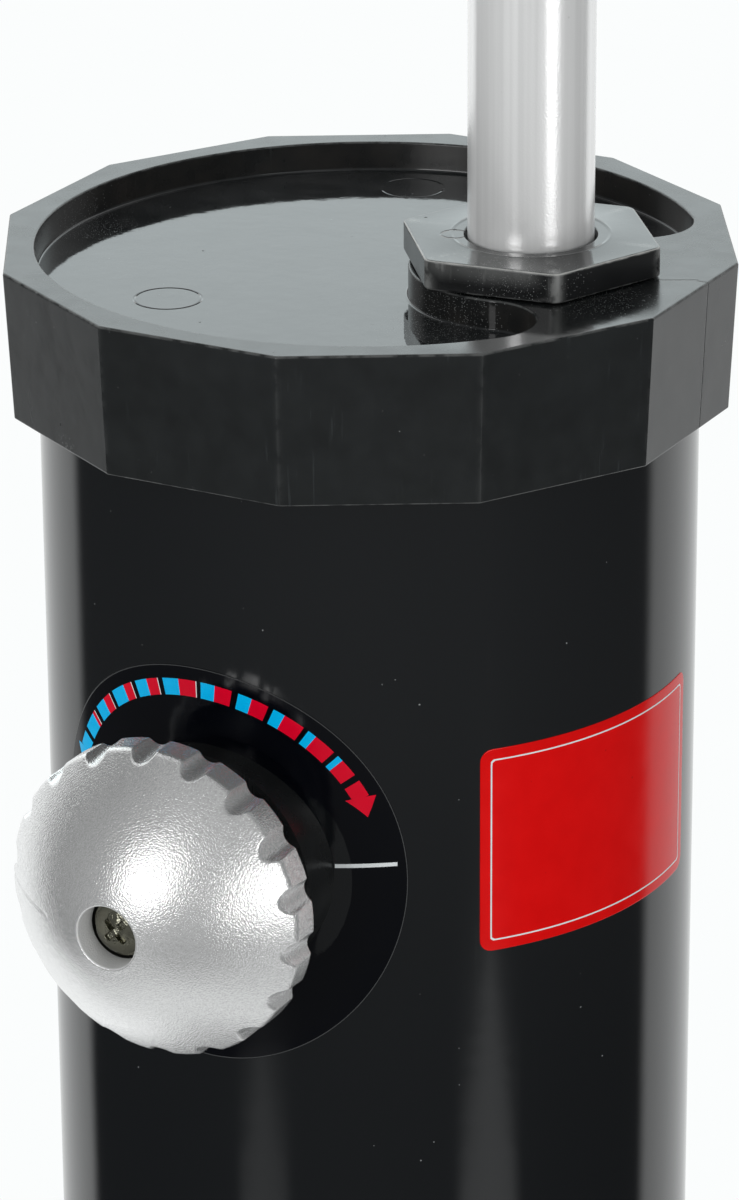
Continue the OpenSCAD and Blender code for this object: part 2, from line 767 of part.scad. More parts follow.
// Mixer: neck through the tank's wall, barrel with the discs, port block behind

module mixer_body() color([0.16, 0.16, 0.17]) front() difference() {
    union() {
        translate([0, 0, flange_out - over]) cylinder(r = neck_r, h = neck_out - flange_out + over);
        translate([0, 0, flange_in]) cylinder(d = flange_d, h = flange_t);
        translate([0, 0, barrel_in]) cylinder(r = barrel_r, h = flange_in - barrel_in + over);
    }
    translate([0, 0, barrel_in - over]) cylinder(r = chamber_r, h = chamber_out - barrel_in + over);
    cylinder(r = spindle_r + turn_gap, h = neck_out + over);
}

// Rubber ring between the flange and the inside of the tank
module mixer_gasket() color([0.12, 0.12, 0.12]) front() intersection() {
    translate([0, 0, flange_out]) tube(flange_d / 2, neck_r + seat_gap, tank_wall + gasket_t);
    tank_bar(tank_ri);
}

module mixer_saddle() color([0.05, 0.05, 0.055]) front()
    outer_saddle(saddle_d / 2, neck_r + seat_gap, saddle_out);

module mixer_locknut() color([0.06, 0.06, 0.065]) front()
    translate([0, 0, saddle_out]) difference() {
        hexagon(locknut_af, locknut_t);
        translate([0, 0, -over]) cylinder(r = neck_r + seat_gap, h = locknut_t + 2 * over);
    }

// Places of the hot, cold and outlet ducts round the discs
module ducts(h) {
    for (a = [0, 90, 270]) rotate([0, 0, a]) translate([duct_ring, 0, 0]) cylinder(d = duct_d, h = h);
}

module stator_disc() color([0.93, 0.93, 0.9]) front() difference() {
    translate([0, 0, block_out]) cylinder(r = disc_r, h = disc_t);
    translate([0, 0, block_out - over]) ducts(disc_t + 2 * over);
}

// Turning disc: a half-round window opens the ducts and a slot takes the spindle's tongue
module rotor_disc() color([0.95, 0.95, 0.93]) front() translate([0, 0, stator_out]) difference() {
    cylinder(r = disc_r - seat_gap, h = disc_t);
    translate([0, 0, -over]) linear_extrude(disc_t / 2 + over) intersection() {
        circle(r = duct_ring + duct_d / 2);
        translate([0, disc_d / 2 + duct_d / 4]) square(disc_d, center = true);
    }
    translate([0, 0, disc_t - tongue_t - seat_gap]) linear_extrude(disc_t)
        square([tongue_w + 2 * seat_gap, tongue_len + 2 * seat_gap], center = true);
}

// Hot socket on top, cold socket below, hose stub toward the riser
module port_block() color([0.2, 0.2, 0.21]) front() difference() {
    union() {
        translate([0, 0, port_s - port_wall_r]) cylinder(r = block_r, h = barrel_in - port_s + port_wall_r);
        translate([0, 0, barrel_in - port_flange_t]) cylinder(r = barrel_r, h = port_flange_t);
        translate([0, 0, barrel_in - over]) cylinder(r = disc_r, h = spigot_t + over);
        for (turn = [90, -90]) translate([0, 0, port_s]) rotate([turn, 0, 0])
            cylinder(r = port_wall_r, h = port_len);
        translate([0, 0, port_s]) rotate([0, 90 + hose_turn, 0]) cylinder(r = tail_r, h = stub_end);
    }
    translate([0, 0, port_s]) ducts(block_out - port_s + over);
    for (turn = [90, -90]) translate([0, 0, port_s]) rotate([turn, 0, 0]) {
        translate([0, 0, duct_ring]) cylinder(d = duct_d, h = port_len);
        translate([0, 0, port_floor]) cylinder(r = pipe_r + seat_gap, h = pipe_seat + over);
    }
    translate([0, 0, port_s]) rotate([0, 90 + hose_turn, 0])
        translate([0, 0, duct_ring - duct_d / 2]) cylinder(r = tail_bore_r, h = hose_run);
}

// Short pipe that draws hot water from under the cap
module hot_pickup() color([0.85, 0.85, 0.83]) translate([0, -port_s, knob_z + port_floor])
    tube(pipe_r, pipe_ri, tank_top - pickup_gap - knob_z - port_floor);

// Hose from the stub, round one bend and up onto the tail under the riser
module outlet_hose() color([0.3, 0.3, 0.32]) translate([0, -port_s, knob_z]) rotate([0, 0, hose_turn])
    translate([stub_end, 0, hose_bend]) {
        translate([0, 0, -hose_bend]) rotate([0, -90, 0]) tube(hose_r, hose_ri, stub_end - hose_start);
        rotate([-90, 0, 0]) pipe_bend(hose_bend, hose_r, hose_ri, 90);
        translate([hose_bend, 0, 0]) tube(hose_r, hose_ri, hose_top - knob_z - hose_bend);
    }

// One band with its screw housing, round the hose
module hose_clip() {
    r_in = hose_r + seat_gap;
    tube(r_in + clip_t, r_in, clip_w);
    difference() {
        translate([r_in, -housing_w / 2, 0]) cube([housing_h, housing_w, clip_w]);
        translate([0, 0, -over]) cylinder(r = r_in + clip_t / 2, h = clip_w + 2 * over);
    }
}

module hose_clips() color([0.75, 0.76, 0.78]) {
    translate([0, -port_s, knob_z]) rotate([0, 0, hose_turn]) rotate([0, 90, 0]) rotate([0, 0, 180])
        translate([0, 0, hose_start + clip_inset]) hose_clip();
    translate([riser_x, 0, hose_top - clip_inset - clip_w]) rotate([0, 0, 180]) hose_clip();
}

// Knob: domed shell with finger scoops, hub and screw pocket

module knob() color([0.72, 0.73, 0.74]) front() difference() {
    union() {
        difference() {
            rotate_extrude($fn = 144) difference() {
                dome_section();
                dome_section(knob_wall, over);
            }
            for (i = [0 : scoops - 1]) rotate([0, 0, scoop_start + 360 * i / scoops]) scoop();
        }
        intersection() {
            translate([0, 0, hub_in]) union() {
                cylinder(r = hub_r, h = knob_top - hub_in);
                translate([0, 0, spindle_out - hub_in - pocket_wall])
                    cylinder(d = pocket_d + 2 * pocket_wall, h = knob_dome);
            }
            translate([0, 0, dome_s]) sphere(r = dome_r - knob_wall / 2);
        }
    }
    translate([0, 0, pocket_s]) cylinder(d = pocket_d, h = knob_dome);
    translate([0, 0, spindle_out - over])
        cylinder(r = screw_d / 2 + seat_gap, h = pocket_floor + 2 * over);
    keyed_shaft(spindle_r + seat_gap, hub_in - over, spindle_out + seat_gap);
}

// Half section of the knob, x out from its axis and y along it: straight side, cone and a round crown that
// touches the cone, all moved in by depth and open at the back by extra
module dome_section(depth = 0, extra = 0) {
    r = knob_r - depth;
    touch = [crown_r - depth * sin(dome_slope), dome_s + (dome_r - depth) * cos(dome_slope)];
    edge = touch[1] - (r - touch[0]) * tan(dome_slope);
    polygon([[0, knob_back - extra], [r, knob_back - extra], [r, edge], touch,
        [0, (touch[1] + knob_top - depth) / 2]]);
    intersection() {
        translate([0, dome_s]) circle(r = dome_r - depth, $fn = 144);
        translate([0, touch[1]]) square([touch[0], dome_r]);
    }
}

// Cutter for one scoop: it grazes the back edge, leans in and runs out on the dome
module scoop() {
    translate([knob_r - scoop_depth + scoop_r / cos(scoop_lean), 0, knob_back])
        rotate([0, -scoop_lean, 0]) translate([0, 0, -knob_side]) cylinder(r = scoop_r, h = knob_d);
}

// Round shaft with a flat on one side
module keyed_shaft(r, s_in, s_out) {
    intersection() {
        translate([0, 0, s_in]) cylinder(r = r, h = s_out - s_in);
        translate([-r - over, -r - over, s_in - over])
            cube([2 * r + over - key_flat, 2 * (r + over), s_out - s_in + 2 * over]);
    }
}

module knob_screw() color([0.8, 0.79, 0.75]) front() translate([0, 0, pocket_s]) difference() {
    union() {
        pan_head(screw_head_d / 2, screw_head_h);
        cylinder(d = screw_flange_d, h = screw_flange_t);
        translate([0, 0, -screw_len]) cylinder(d = screw_d, h = screw_len + over);
    }
    for (a = [45, 135]) rotate([0, 0, a])
        translate([-cross_len / 2, -cross_w / 2, screw_head_h - cross_depth])
            cube([cross_len, cross_w, cross_depth + over]);
}

// Low crowned head on a straight edge
module pan_head(r, h) {
    edge = h / 2;
    crown = h - edge;
    crown_r = (r * r + crown * crown) / (2 * crown);
    intersection() {
        cylinder(r = r, h = h + over);
        translate([0, 0, h - crown_r]) sphere(r = crown_r);
    }
}

module spindle() color([0.78, 0.68, 0.42]) front() difference() {
    union() {
        translate([0, 0, rotor_out]) cylinder(d = foot_d, h = foot_t);
        translate([0, 0, rotor_out]) cylinder(r = spindle_r, h = neck_out - rotor_out);
        keyed_shaft(spindle_r, neck_out - over, spindle_out);
        translate([0, 0, rotor_out - tongue_t]) linear_extrude(tongue_t + over)
            square([tongue_w, tongue_len], center = true);
    }
    translate([0, 0, pocket_s - screw_len - over]) cylinder(r = screw_d / 2 + seat_gap, h = screw_len + over);
    translate([0, 0, ring_s - seat_gap]) tube(spindle_r + over, spindle_r - ring_t, ring_w + 2 * seat_gap);
}

// Ring that seals the spindle, in a groove at the middle of the mixer's neck
module spindle_ring() color([0.1, 0.1, 0.1]) front() translate([0, 0, ring_s])
    tube(spindle_r, spindle_r - ring_t, ring_w);

// Riser and head

// Straight pipe, half-round crook and a short straight end, all from the middle of the crook
module riser_pipe() color([0.78, 0.79, 0.8]) translate([riser_x, -crook_r, crook_z]) {
    riser_ri = riser_r - riser_wall;
    translate([0, crook_r, 0]) mirror([0, 0, 1])
        tube(riser_r, riser_ri, riser_rise + riser_seat - seat_gap);
    rotate([90, 0, 90]) pipe_bend(crook_r, riser_r, riser_ri, 180);
    translate([0, -crook_r, 0]) mirror([0, 0, 1]) tube(riser_r, riser_ri, crook_end);
}

module ball_stud() color([0.75, 0.76, 0.77]) at_ball() difference() {
    union() {
        sphere(r = ball_r);
        cylinder(d = ball_neck_d, h = stud_neck + over);
        translate([0, 0, stud_neck]) cylinder(r = riser_r, h = stud_collar_t);
        translate([0, 0, ball_drop - over])
            cylinder(r = riser_r - riser_wall - seat_gap, h = stud_plug + over);
    }
    translate([0, 0, -ball_d]) cylinder(d = ball_bore, h = 2 * ball_d + stud_plug + ball_drop);
}

// Hollow half ball between the ball and the head's cup
module ball_liner() color([0.92, 0.92, 0.9]) at_ball() difference() {
    sphere(r = liner_r);
    sphere(r = ball_r + turn_gap);
    translate([0, 0, liner_r + over - liner_drop]) cube(2 * (liner_r + over), center = true);
    translate([0, 0, -2 * liner_r]) cylinder(d = cup_bore, h = 2 * liner_r);
}

// Nut over the ball: the lip holds the ball in and opens wide enough for the neck to tilt
module head_nut() color([0.74, 0.75, 0.76]) at_ball() difference() {
    translate([0, 0, nut_foot]) ribbed_bar(head_nut_r, nut_top - nut_foot, head_nut_ribs);
    translate([0, 0, nut_foot - over])
        cylinder(r = head_thread_r + seat_gap, h = seal_z - nut_foot + over);
    sphere(r = lip_r);
    translate([0, 0, lip_z])
        cylinder(r1 = mouth_r, r2 = mouth_r + (lip_t + over) * tan(lip_slope), h = lip_t + over);
}

module head_packing() color([0.1, 0.1, 0.1]) at_ball() difference() {
    translate([0, 0, head_neck]) cylinder(r = head_thread_r, h = head_packing_t);
    sphere(r = ball_r + turn_gap);
}

module head_shell() color([0.76, 0.77, 0.78]) at_ball() difference() {
    union() {
        translate([0, 0, shoulder_z - over]) cylinder(r = head_thread_r, h = head_neck - shoulder_z + over);
        translate([0, 0, dome_top_z - head_dome / 2])
            cylinder(r = head_nut_r - shoulder_step, h = shoulder_t + head_dome / 2);
        rotate_extrude($fn = 144) difference() {
            head_section(head_r, head_dome_r);
            head_section(head_r - head_wall, head_dome_r - head_wall, over);
        }
    }
    sphere(r = cup_r);
    cylinder(r = cup_r, h = head_neck + over);
    translate([0, 0, -head_dome_r]) cylinder(d = cup_bore, h = head_dome_r);
}

// Half section of the head, x out from its axis and y along it, open at the face by extra
module head_section(r, r_dome, extra = 0) {
    intersection() {
        translate([0, dome_top_z - head_dome_r]) circle(r = r_dome, $fn = 144);
        translate([0, face_z - extra]) square([r, head_d]);
    }
}

// Places of the nozzles: rings, each with six more than the last
module nozzle_places() {
    for (ring = [1 : nozzle_rings], i = [0 : 6 * ring - 1])
        rotate([0, 0, 60 * i / ring]) translate([nozzle_pitch * ring, 0, 0]) children();
}

module nozzle_mat() color([0.25, 0.26, 0.27]) at_ball() difference() {
    union() {
        translate([0, 0, face_z + plate_t]) cylinder(r = plate_r - mat_step, h = mat_t);
        nozzle_places() translate([0, 0, face_z - nozzle_len])
            cylinder(d1 = nozzle_d - nozzle_taper, d2 = nozzle_d, h = nozzle_len + plate_t + mat_t / 4,
                $fn = 24);
    }
    nozzle_places() translate([0, 0, face_z - nozzle_len - over])
        cylinder(d = jet_d, h = nozzle_len + plate_t + mat_t + 2 * over, $fn = 16);
}

module spray_plate() color([0.7, 0.71, 0.72]) at_ball() translate([0, 0, face_z]) difference() {
    cylinder(r = plate_r, h = plate_t, $fn = 144);
    nozzle_places() translate([0, 0, -over])
        cylinder(r = nozzle_d / 2 + seat_gap, h = plate_t + 2 * over, $fn = 24);
}

base_flange();
tank_tube();
top_cap();
gland_nut();
gland_packing();
inlet_bulkhead();
inlet_saddle();
inlet_backnut();
inlet_adaptor();
inlet_washer();
feed_pipe();
cold_pipe();
drain_bushing();
drain_saddle();
drain_backnut();
drain_plug();
plug_washer();
mixer_body();
mixer_gasket();
mixer_saddle();
mixer_locknut();
stator_disc();
port_block();
hot_pickup();
outlet_hose();
hose_clips();
knob();
knob_screw();
spindle();
spindle_ring();
rotor_disc();
riser_pipe();
ball_stud();
ball_liner();
head_nut();
head_packing();
head_shell();
nozzle_mat();
spray_plate();
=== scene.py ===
"""Solar outdoor shower: a black pipe tank with a flat-sided cap, a silver riser and a domed mixing knob."""
import json
import math

import bmesh
import bpy
import numpy as np
from mathutils import Matrix, Vector


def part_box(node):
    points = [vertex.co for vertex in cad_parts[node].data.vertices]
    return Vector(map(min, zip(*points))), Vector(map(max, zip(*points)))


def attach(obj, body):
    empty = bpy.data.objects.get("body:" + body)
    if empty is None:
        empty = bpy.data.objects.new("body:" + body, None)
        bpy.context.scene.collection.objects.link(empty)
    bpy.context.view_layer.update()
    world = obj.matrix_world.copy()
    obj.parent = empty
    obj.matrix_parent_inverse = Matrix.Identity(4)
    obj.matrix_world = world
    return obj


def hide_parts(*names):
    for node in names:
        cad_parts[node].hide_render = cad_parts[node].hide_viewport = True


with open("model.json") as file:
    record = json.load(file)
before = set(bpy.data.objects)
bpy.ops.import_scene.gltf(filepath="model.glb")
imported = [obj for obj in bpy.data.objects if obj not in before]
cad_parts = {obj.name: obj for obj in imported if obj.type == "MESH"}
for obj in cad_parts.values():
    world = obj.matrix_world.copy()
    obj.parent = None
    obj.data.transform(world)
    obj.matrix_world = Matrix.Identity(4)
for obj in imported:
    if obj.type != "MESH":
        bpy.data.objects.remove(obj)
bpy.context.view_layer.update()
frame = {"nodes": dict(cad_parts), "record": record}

MM = 0.001
TAU = 2 * math.pi
scene = bpy.context.scene

# Sizes in millimetres: three that no box shows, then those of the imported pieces
RISER_R, BALL_R, SCREW_SEAT = 15.0, 11.0, 3.0
low = {n: np.array(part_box(n)[0]) / MM for n in frame["nodes"]}
high = {n: np.array(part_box(n)[1]) / MM for n in frame["nodes"]}
mid = {n: (low[n] + high[n]) / 2 for n in low}
tank_r = (high["tank_tube"][0] - low["tank_tube"][0]) / 2
tank_foot, tank_top = low["tank_tube"][2], high["tank_tube"][2]
rim_z = high["top_cap"][2]
riser_x, knob_z = mid["gland_packing"][0], mid["knob_screw"][2]
pocket_floor = SCREW_SEAT - low["spindle"][1]
ball = np.array([riser_x, low["riser_pipe"][1] + RISER_R, low["ball_stud"][2] + BALL_R])


# Shapes

def circle(columns):
    """Equal angles round a full turn."""
    return np.linspace(0, TAU, columns, endpoint=False)


def wrapped(angles, pitch):
    """Angles brought to within half a pitch of zero."""
    return (angles + pitch / 2) % pitch - pitch / 2


def crossed(first, second):
    """Two grids of values: the first changes by row, the second by column."""
    return np.meshgrid(first, second, indexing="ij")


def ring(radius, height, angles):
    """Closed row of points: radius (one value, or one for each angle) at each angle, all at one height."""
    r = np.broadcast_to(radius, angles.shape)
    return np.stack([r * np.cos(angles), r * np.sin(angles), np.full(angles.shape, float(height))], -1)


def rings(profile, angles):
    """Grid with a ring for each radius and height of a profile."""
    return np.stack([ring(r, h, angles) for r, h in profile])


def revolve(profile, columns):
    """Surface of revolution: every (radius, height) of the profile becomes a ring about z."""
    return rings(profile, circle(columns))


def rounded(corners, radii, steps, beyond=0.3):
    """Polyline whose inner corners become arcs: each arc touches both sides at radius / tan(half the angle),
    and one point beyond each end, by a share of the radius, holds the side flat."""
    p, r = np.asarray(corners, float), np.asarray(radii, float)[1:-1, None]
    to_last, to_next = p[:-2] - p[1:-1], p[2:] - p[1:-1]
    to_last /= np.linalg.norm(to_last, axis=1, keepdims=True)
    to_next /= np.linalg.norm(to_next, axis=1, keepdims=True)
    half = np.arccos(np.clip((to_last * to_next).sum(1, keepdims=True), -1, 1)) / 2
    reach = r / np.tan(half)
    middle = to_last + to_next
    middle = p[1:-1] + middle / np.linalg.norm(middle, axis=1, keepdims=True) * r / np.sin(half)
    first = p[1:-1] + to_last * reach - middle
    last = p[1:-1] + to_next * reach - middle
    start = np.arctan2(first[:, 1], first[:, 0])[:, None]
    turned = first[:, 0] * last[:, 1] - first[:, 1] * last[:, 0]
    sweep = np.arctan2(turned, (first * last).sum(1))[:, None]
    a = start + sweep * np.linspace(0, 1, steps + 1)
    arcs = middle[:, None] + r[:, None] * np.stack([np.cos(a), np.sin(a)], -1)
    hold = reach + beyond * r
    arcs = np.concatenate([(p[1:-1] + to_last * hold)[:, None], arcs, (p[1:-1] + to_next * hold)[:, None]], 1)
    return np.concatenate([p[:1], arcs.reshape(-1, 2), p[-1:]])


def edge_share(shares, steps):
    """Share of edge wear, which also paints edge highlights, for each point of a rounded polyline: half a sine
    over each arc, scaled by its corner.
    """
    arc = np.concatenate([[0], np.sin(np.linspace(0, math.pi, steps + 1)), [0]])
    return np.concatenate([[0], (np.asarray(shares, float)[1:-1, None] * arc).ravel(), [0]])


def corner_share(angles, radius, sides, width, turn=0.0):
    """Share of edge wear near a polygon's upright corners: a bell of the distance along the side."""
    half = math.pi / sides
    off = half - np.abs(wrapped(angles - turn, 2 * half))
    return np.exp(-(off * radius / width) ** 2)


def flat_sided(angles, flat, sides, corner, turn=0.0):
    """Radius at each angle of a regular polygon with its flats at one distance: flat / cos(angle from the
    middle of the flat), and on the corners the far side of a circle that touches both flats."""
    half = math.pi / sides
    t = np.abs(wrapped(angles - turn, 2 * half))
    c = (flat - corner) / math.cos(half)
    arc = c * np.cos(half - t) + np.sqrt(np.maximum(corner ** 2 - (c * np.sin(half - t)) ** 2, 0))
    return np.where(t > math.atan((flat - corner) * math.tan(half) / flat), arc, flat / np.cos(t))


def corner_angles(count, sides, spread, first, last):
    """Evenly spread angles from first to last, with a cluster of seven at each corner of a polygon."""
    half = math.pi / sides
    corners = np.arange(-sides, 2 * sides) * 2 * half + half
    corners = corners[(corners > first + spread) & (corners < last - spread)]
    cluster = (corners[:, None] + spread * np.array([-1, -0.5, -0.22, 0, 0.22, 0.5, 1])).ravel()
    even = np.linspace(first, last, count - len(cluster), endpoint=False)
    return np.sort(np.concatenate([even, cluster]))


def along_front(points):
    """From the knob's axes (x right, y up, z out of the tank) to the model's."""
    return np.stack([points[..., 0], -points[..., 2], knob_z + points[..., 1]], -1)


def along_back(points, height):
    """From a back fitting's axes (z out of the tank's back) to the model's."""
    return np.stack([points[..., 0], points[..., 2], height - points[..., 1]], -1)


def on_tank(across, up, proud):
    """Wraps flat (across, up) round the tank's front at a small height above its face: the angle is the
    distance across divided by the tank's radius."""
    a = across / tank_r
    r = tank_r + proud
    return np.stack([r * np.sin(a), -r * np.cos(a), np.broadcast_to(up, np.shape(a))], -1)


# Pieces

WELD = 2e-6


def quads(rows, columns, closed, start=0):
    """Faces of a grid of points, four indices each, closed round the columns or not."""
    index = start + np.arange(rows * columns).reshape(rows, columns)
    if closed:
        index = np.concatenate([index, index[:, :1]], 1)
    return np.stack([index[:-1, :-1], index[:-1, 1:], index[1:, 1:], index[1:, :-1]], -1).reshape(-1, 4)


def place(name, data):
    """A new object in the scene."""
    obj = bpy.data.objects.new(name, data)
    scene.collection.objects.link(obj)
    return obj


def piece(name, grids, body, material, stands_for=(), facing=None):
    """One object from grids of points in millimetres, rows by columns, closed round the columns where the
    grid says so. A third entry gives each point's share of edge wear and painted edge highlight. Edges that meet
    are welded. A closed piece faces outwards; facing gives an open one's middle."""
    verts, faces, worn_and_lit, start = [], [], [], 0
    for points, closed, *wear in grids:
        shape = points.shape[:2]
        worn_and_lit.append(np.broadcast_to(wear[0] if wear else 0.0, shape).ravel())
        faces.append(quads(*shape, closed, start))
        verts.append(points.reshape(-1, 3))
        start += len(verts[-1])
    worn_and_lit = np.concatenate(worn_and_lit)
    mesh = bpy.data.meshes.new(name)
    mesh.from_pydata(np.concatenate(verts) * MM, [], np.concatenate(faces).tolist())
    if np.any(worn_and_lit):
        mesh.attributes.new("worn_and_lit", "FLOAT", "POINT").data.foreach_set("value", worn_and_lit)
    bm = bmesh.new()
    bm.from_mesh(mesh)
    bmesh.ops.remove_doubles(bm, verts=bm.verts, dist=WELD)
    bmesh.ops.recalc_face_normals(bm, faces=bm.faces)
    bm.to_mesh(mesh)
    bm.free()
    if facing is not None:
        centre, normal = np.empty((2, len(mesh.polygons), 3))
        mesh.polygons.foreach_get("center", centre.ravel())
        mesh.polygons.foreach_get("normal", normal.ravel())
        if ((centre - facing) * normal).sum() < 0:
            mesh.flip_normals()
    mesh.shade_smooth()
    mesh.materials.append(material)
    obj = place(name, mesh)
    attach(obj, body)
    if stands_for:
        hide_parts(*stands_for)


# Shader nodes

ORIGIN, IN_PLAN = (0.0, 0.0, 0.0), (1.0, 1.0, 0.0)


def fill(node, inputs):
    """Sets a node's inputs, by number or by name (an underscore stands for a space), to values or to sockets."""
    for key, value in inputs.items():
        socket = node.inputs[key.replace("_", " ") if isinstance(key, str) else key]
        if isinstance(value, bpy.types.NodeSocket):
            node.id_data.links.new(value, socket)
        else:
            socket.default_value = value


def add(kind, inputs=None, tree=None, **settings):
    """A node with its settings and inputs. It joins the tree that is given, or that of its first linked input."""
    inputs = inputs or {}
    tree = tree or next(v.id_data for v in inputs.values() if isinstance(v, bpy.types.NodeSocket))
    node = tree.nodes.new(kind)
    for key, value in settings.items():
        setattr(node, key, value)
    fill(node, inputs)
    return node


def calc(operation, a, b=0.0, c=0.0, clamp=False):
    """The result of a Math node, clamped to 0 and 1 or not."""
    return add("ShaderNodeMath", {0: a, 1: b, 2: c}, operation=operation, use_clamp=clamp).outputs[0]


def times(a, b, clamp=False):
    """a times b."""
    return calc("MULTIPLY", a, b, clamp=clamp)


def times_plus(a, b, c, clamp=False):
    """a times b, plus c."""
    return calc("MULTIPLY_ADD", a, b, c, clamp)


def one_less(value, clamp=False):
    """One less a value."""
    return calc("SUBTRACT", 1.0, value, clamp=clamp)


def vector(operation, a, b=ORIGIN):
    """The result of a Vector Math node: a number for a length, a distance or a dot product, else a vector."""
    outputs = add("ShaderNodeVectorMath", {0: a, 1: b}, operation=operation).outputs
    return outputs["Value" if operation in ("LENGTH", "DISTANCE", "DOT_PRODUCT") else "Vector"]


def split(at):
    """The three numbers of a vector."""
    return add("ShaderNodeSeparateXYZ", {0: at}).outputs


def ramp(value, first, last, start=0.0, end=1.0, kind="LINEAR"):
    """From start at first to end at last, and level beyond them."""
    inputs = {0: value, 1: first, 2: last, 3: start, 4: end}
    return add("ShaderNodeMapRange", inputs, interpolation_type=kind).outputs[0]


def between(value, first, last):
    """0 below first and 1 above last, with a soft step between them."""
    return ramp(value, first, last, kind="SMOOTHSTEP")


def noise(at, scale, detail):
    """Noise about 0.5 at one scale, with finer layers."""
    return add("ShaderNodeTexNoise", {"Vector": at, "Scale": scale, "Detail": detail}).outputs[0]


def drawn_noise(at, stretch, detail):
    """Noise with its own scale along each axis."""
    return noise(vector("MULTIPLY", at, stretch), 1.0, detail)


def within(value, first, last):
    """1 where a value lies between two others, else 0."""
    return times(calc("GREATER_THAN", value, first), calc("LESS_THAN", value, last))


def fine_line(away, width):
    """1 where a distance is zero, falling to 0 at a width to either side."""
    return one_less(calc("DIVIDE", calc("ABSOLUTE", away), width), clamp=True)


def near_point(at, centre, inner, outer):
    """1 within the inner distance of a point, 0 beyond the outer one."""
    return one_less(between(vector("DISTANCE", at, centre), inner, outer))


def blend(mask, below, above):
    """One colour or value over another by a mask."""
    if isinstance(below, (int, float)):
        return times_plus(mask, float(above - below), float(below))
    pair = [c if isinstance(c, bpy.types.NodeSocket) else (*c, 1.0) for c in (below, above)]
    return add("ShaderNodeMix", {0: mask, 6: pair[0], 7: pair[1]}, data_type="RGBA").outputs[2]


def bump(shader, height, strength, distance):
    """Tilts a shader's normal by the slope of a height from 0 to 1 that stands for a distance."""
    tilt = add("ShaderNodeBump", {"Height": height, "Strength": strength, "Distance": distance})
    fill(shader, {"Normal": tilt.outputs[0]})


def paint(shader, colour, roughness):
    """Links a shader's colour and roughness."""
    fill(shader, {"Base Color": colour, "Roughness": roughness})


def shade(colour, level):
    """A colour times a level."""
    return tuple(level * c for c in colour)


def grey(level):
    """A colour with no hue."""
    return (level, level, level)


# Patterns that the materials share

def make_group(name, recipe, **inputs):
    """A shader group whose one output is what the recipe makes of a position and of the inputs given by name,
    each with the value it has where none is set."""
    inputs = {"Position": ORIGIN, **inputs}
    tree = bpy.data.node_groups.new(name, "ShaderNodeTree")
    for label, value in inputs.items():
        kind = "NodeSocketFloat" if isinstance(value, float) else "NodeSocketVector"
        socket = tree.interface.new_socket(label.replace("_", " "), in_out="INPUT", socket_type=kind)
        socket.default_value = value
    tree.interface.new_socket("Mask", in_out="OUTPUT", socket_type="NodeSocketFloat")
    given = tree.nodes.new("NodeGroupInput").outputs
    mask = recipe(*(given[i] for i in range(len(inputs))))
    tree.links.new(mask, tree.nodes.new("NodeGroupOutput").inputs[0])
    return tree


def use(group, at, **inputs):
    """A group's output at a position, with its other inputs set by name."""
    return add("ShaderNodeGroup", {"Position": at, **inputs}, node_tree=group).outputs[0]


def dust_recipe(at, per_metre, share, size):
    """Dust: random cells of a Voronoi pattern, each with a speck of its own size at its point."""
    cells = add("ShaderNodeTexVoronoi", {"Vector": at, "Scale": per_metre}).outputs
    chance = add("ShaderNodeSeparateColor", {"Color": cells["Color"]}).outputs
    chosen = calc("LESS_THAN", chance[0], share)
    radius = times(size, calc("ADD", chance[1], 0.25))
    near = one_less(calc("DIVIDE", cells["Distance"], radius), clamp=True)
    return times(chosen, times(near, 2.0, clamp=True))


def scuffs_recipe(at, stretch, cover):
    """Fine scratches: noise drawn out along one axis, cut to its highest lines and broken up by wider noise."""
    thin = between(drawn_noise(at, stretch, 3.0), 0.58, 0.72)
    patch = calc("ADD", noise(at, 45.0, 2.0), calc("SUBTRACT", cover, 0.5))
    return times(thin, between(patch, 0.42, 0.62))


def mottle_recipe(at, per_metre):
    """Slow unevenness from 0 to 1: noise at one scale with finer layers."""
    return ramp(noise(at, per_metre, 4.0), 0.3, 0.7)


def ring_mark_recipe(at, centre, radius, width):
    """A round mould mark: 1 on a thin circle of one radius about a centre, seen along z."""
    off = vector("MULTIPLY", vector("SUBTRACT", at, centre), IN_PLAN)
    return fine_line(calc("SUBTRACT", vector("LENGTH", off), radius), width)


def edge_wear_and_highlight_recipe(at, edge):
    """Pale edges, partly wear and partly painted edge highlight: the edge's own share, broken up by fine noise
    so that only its strongest stretches show.
    """
    return times(edge, between(noise(at, 260.0, 5.0), 0.34, 0.6))


DUST = make_group("Dust", dust_recipe, Per_metre=150.0, Share=0.1, Size=0.12)
SCUFFS = make_group("Scuffs", scuffs_recipe, Stretch=(900.0, 900.0, 40.0), Cover=0.5)
MOTTLE = make_group("Mottle", mottle_recipe, Per_metre=60.0)
RING_MARK = make_group("Ring mark", ring_mark_recipe, Centre=ORIGIN, Radius=0.008, Width=0.0004)
EDGES_WORN_AND_LIT = make_group("Wear and highlight on edges", edge_wear_and_highlight_recipe, Edge=0.0)


# Materials

# Pale greys of edge wear and wear patches, which also paint edge highlights and a reflection on the nut's front face.
WEAR_AND_HIGHLIGHT_GREY, WEAR_AND_HIGHLIGHT_BRIGHT, DUST_GREY = (0.28, 0.285, 0.28), (0.5, 0.5, 0.48), (0.2, 0.205, 0.205)
PARTING_HALF = 0.0003


def finish(name, **settings):
    """A material with one Principled shader, whose sockets are set by name. Returns the material, the shader and
    the position on the object in metres."""
    material = bpy.data.materials.new(name)
    material.use_nodes = True
    tree = material.node_tree
    shader = tree.nodes["Principled BSDF"]
    fill(shader, settings)
    return material, shader, add("ShaderNodeTexCoord", tree=tree).outputs["Object"]


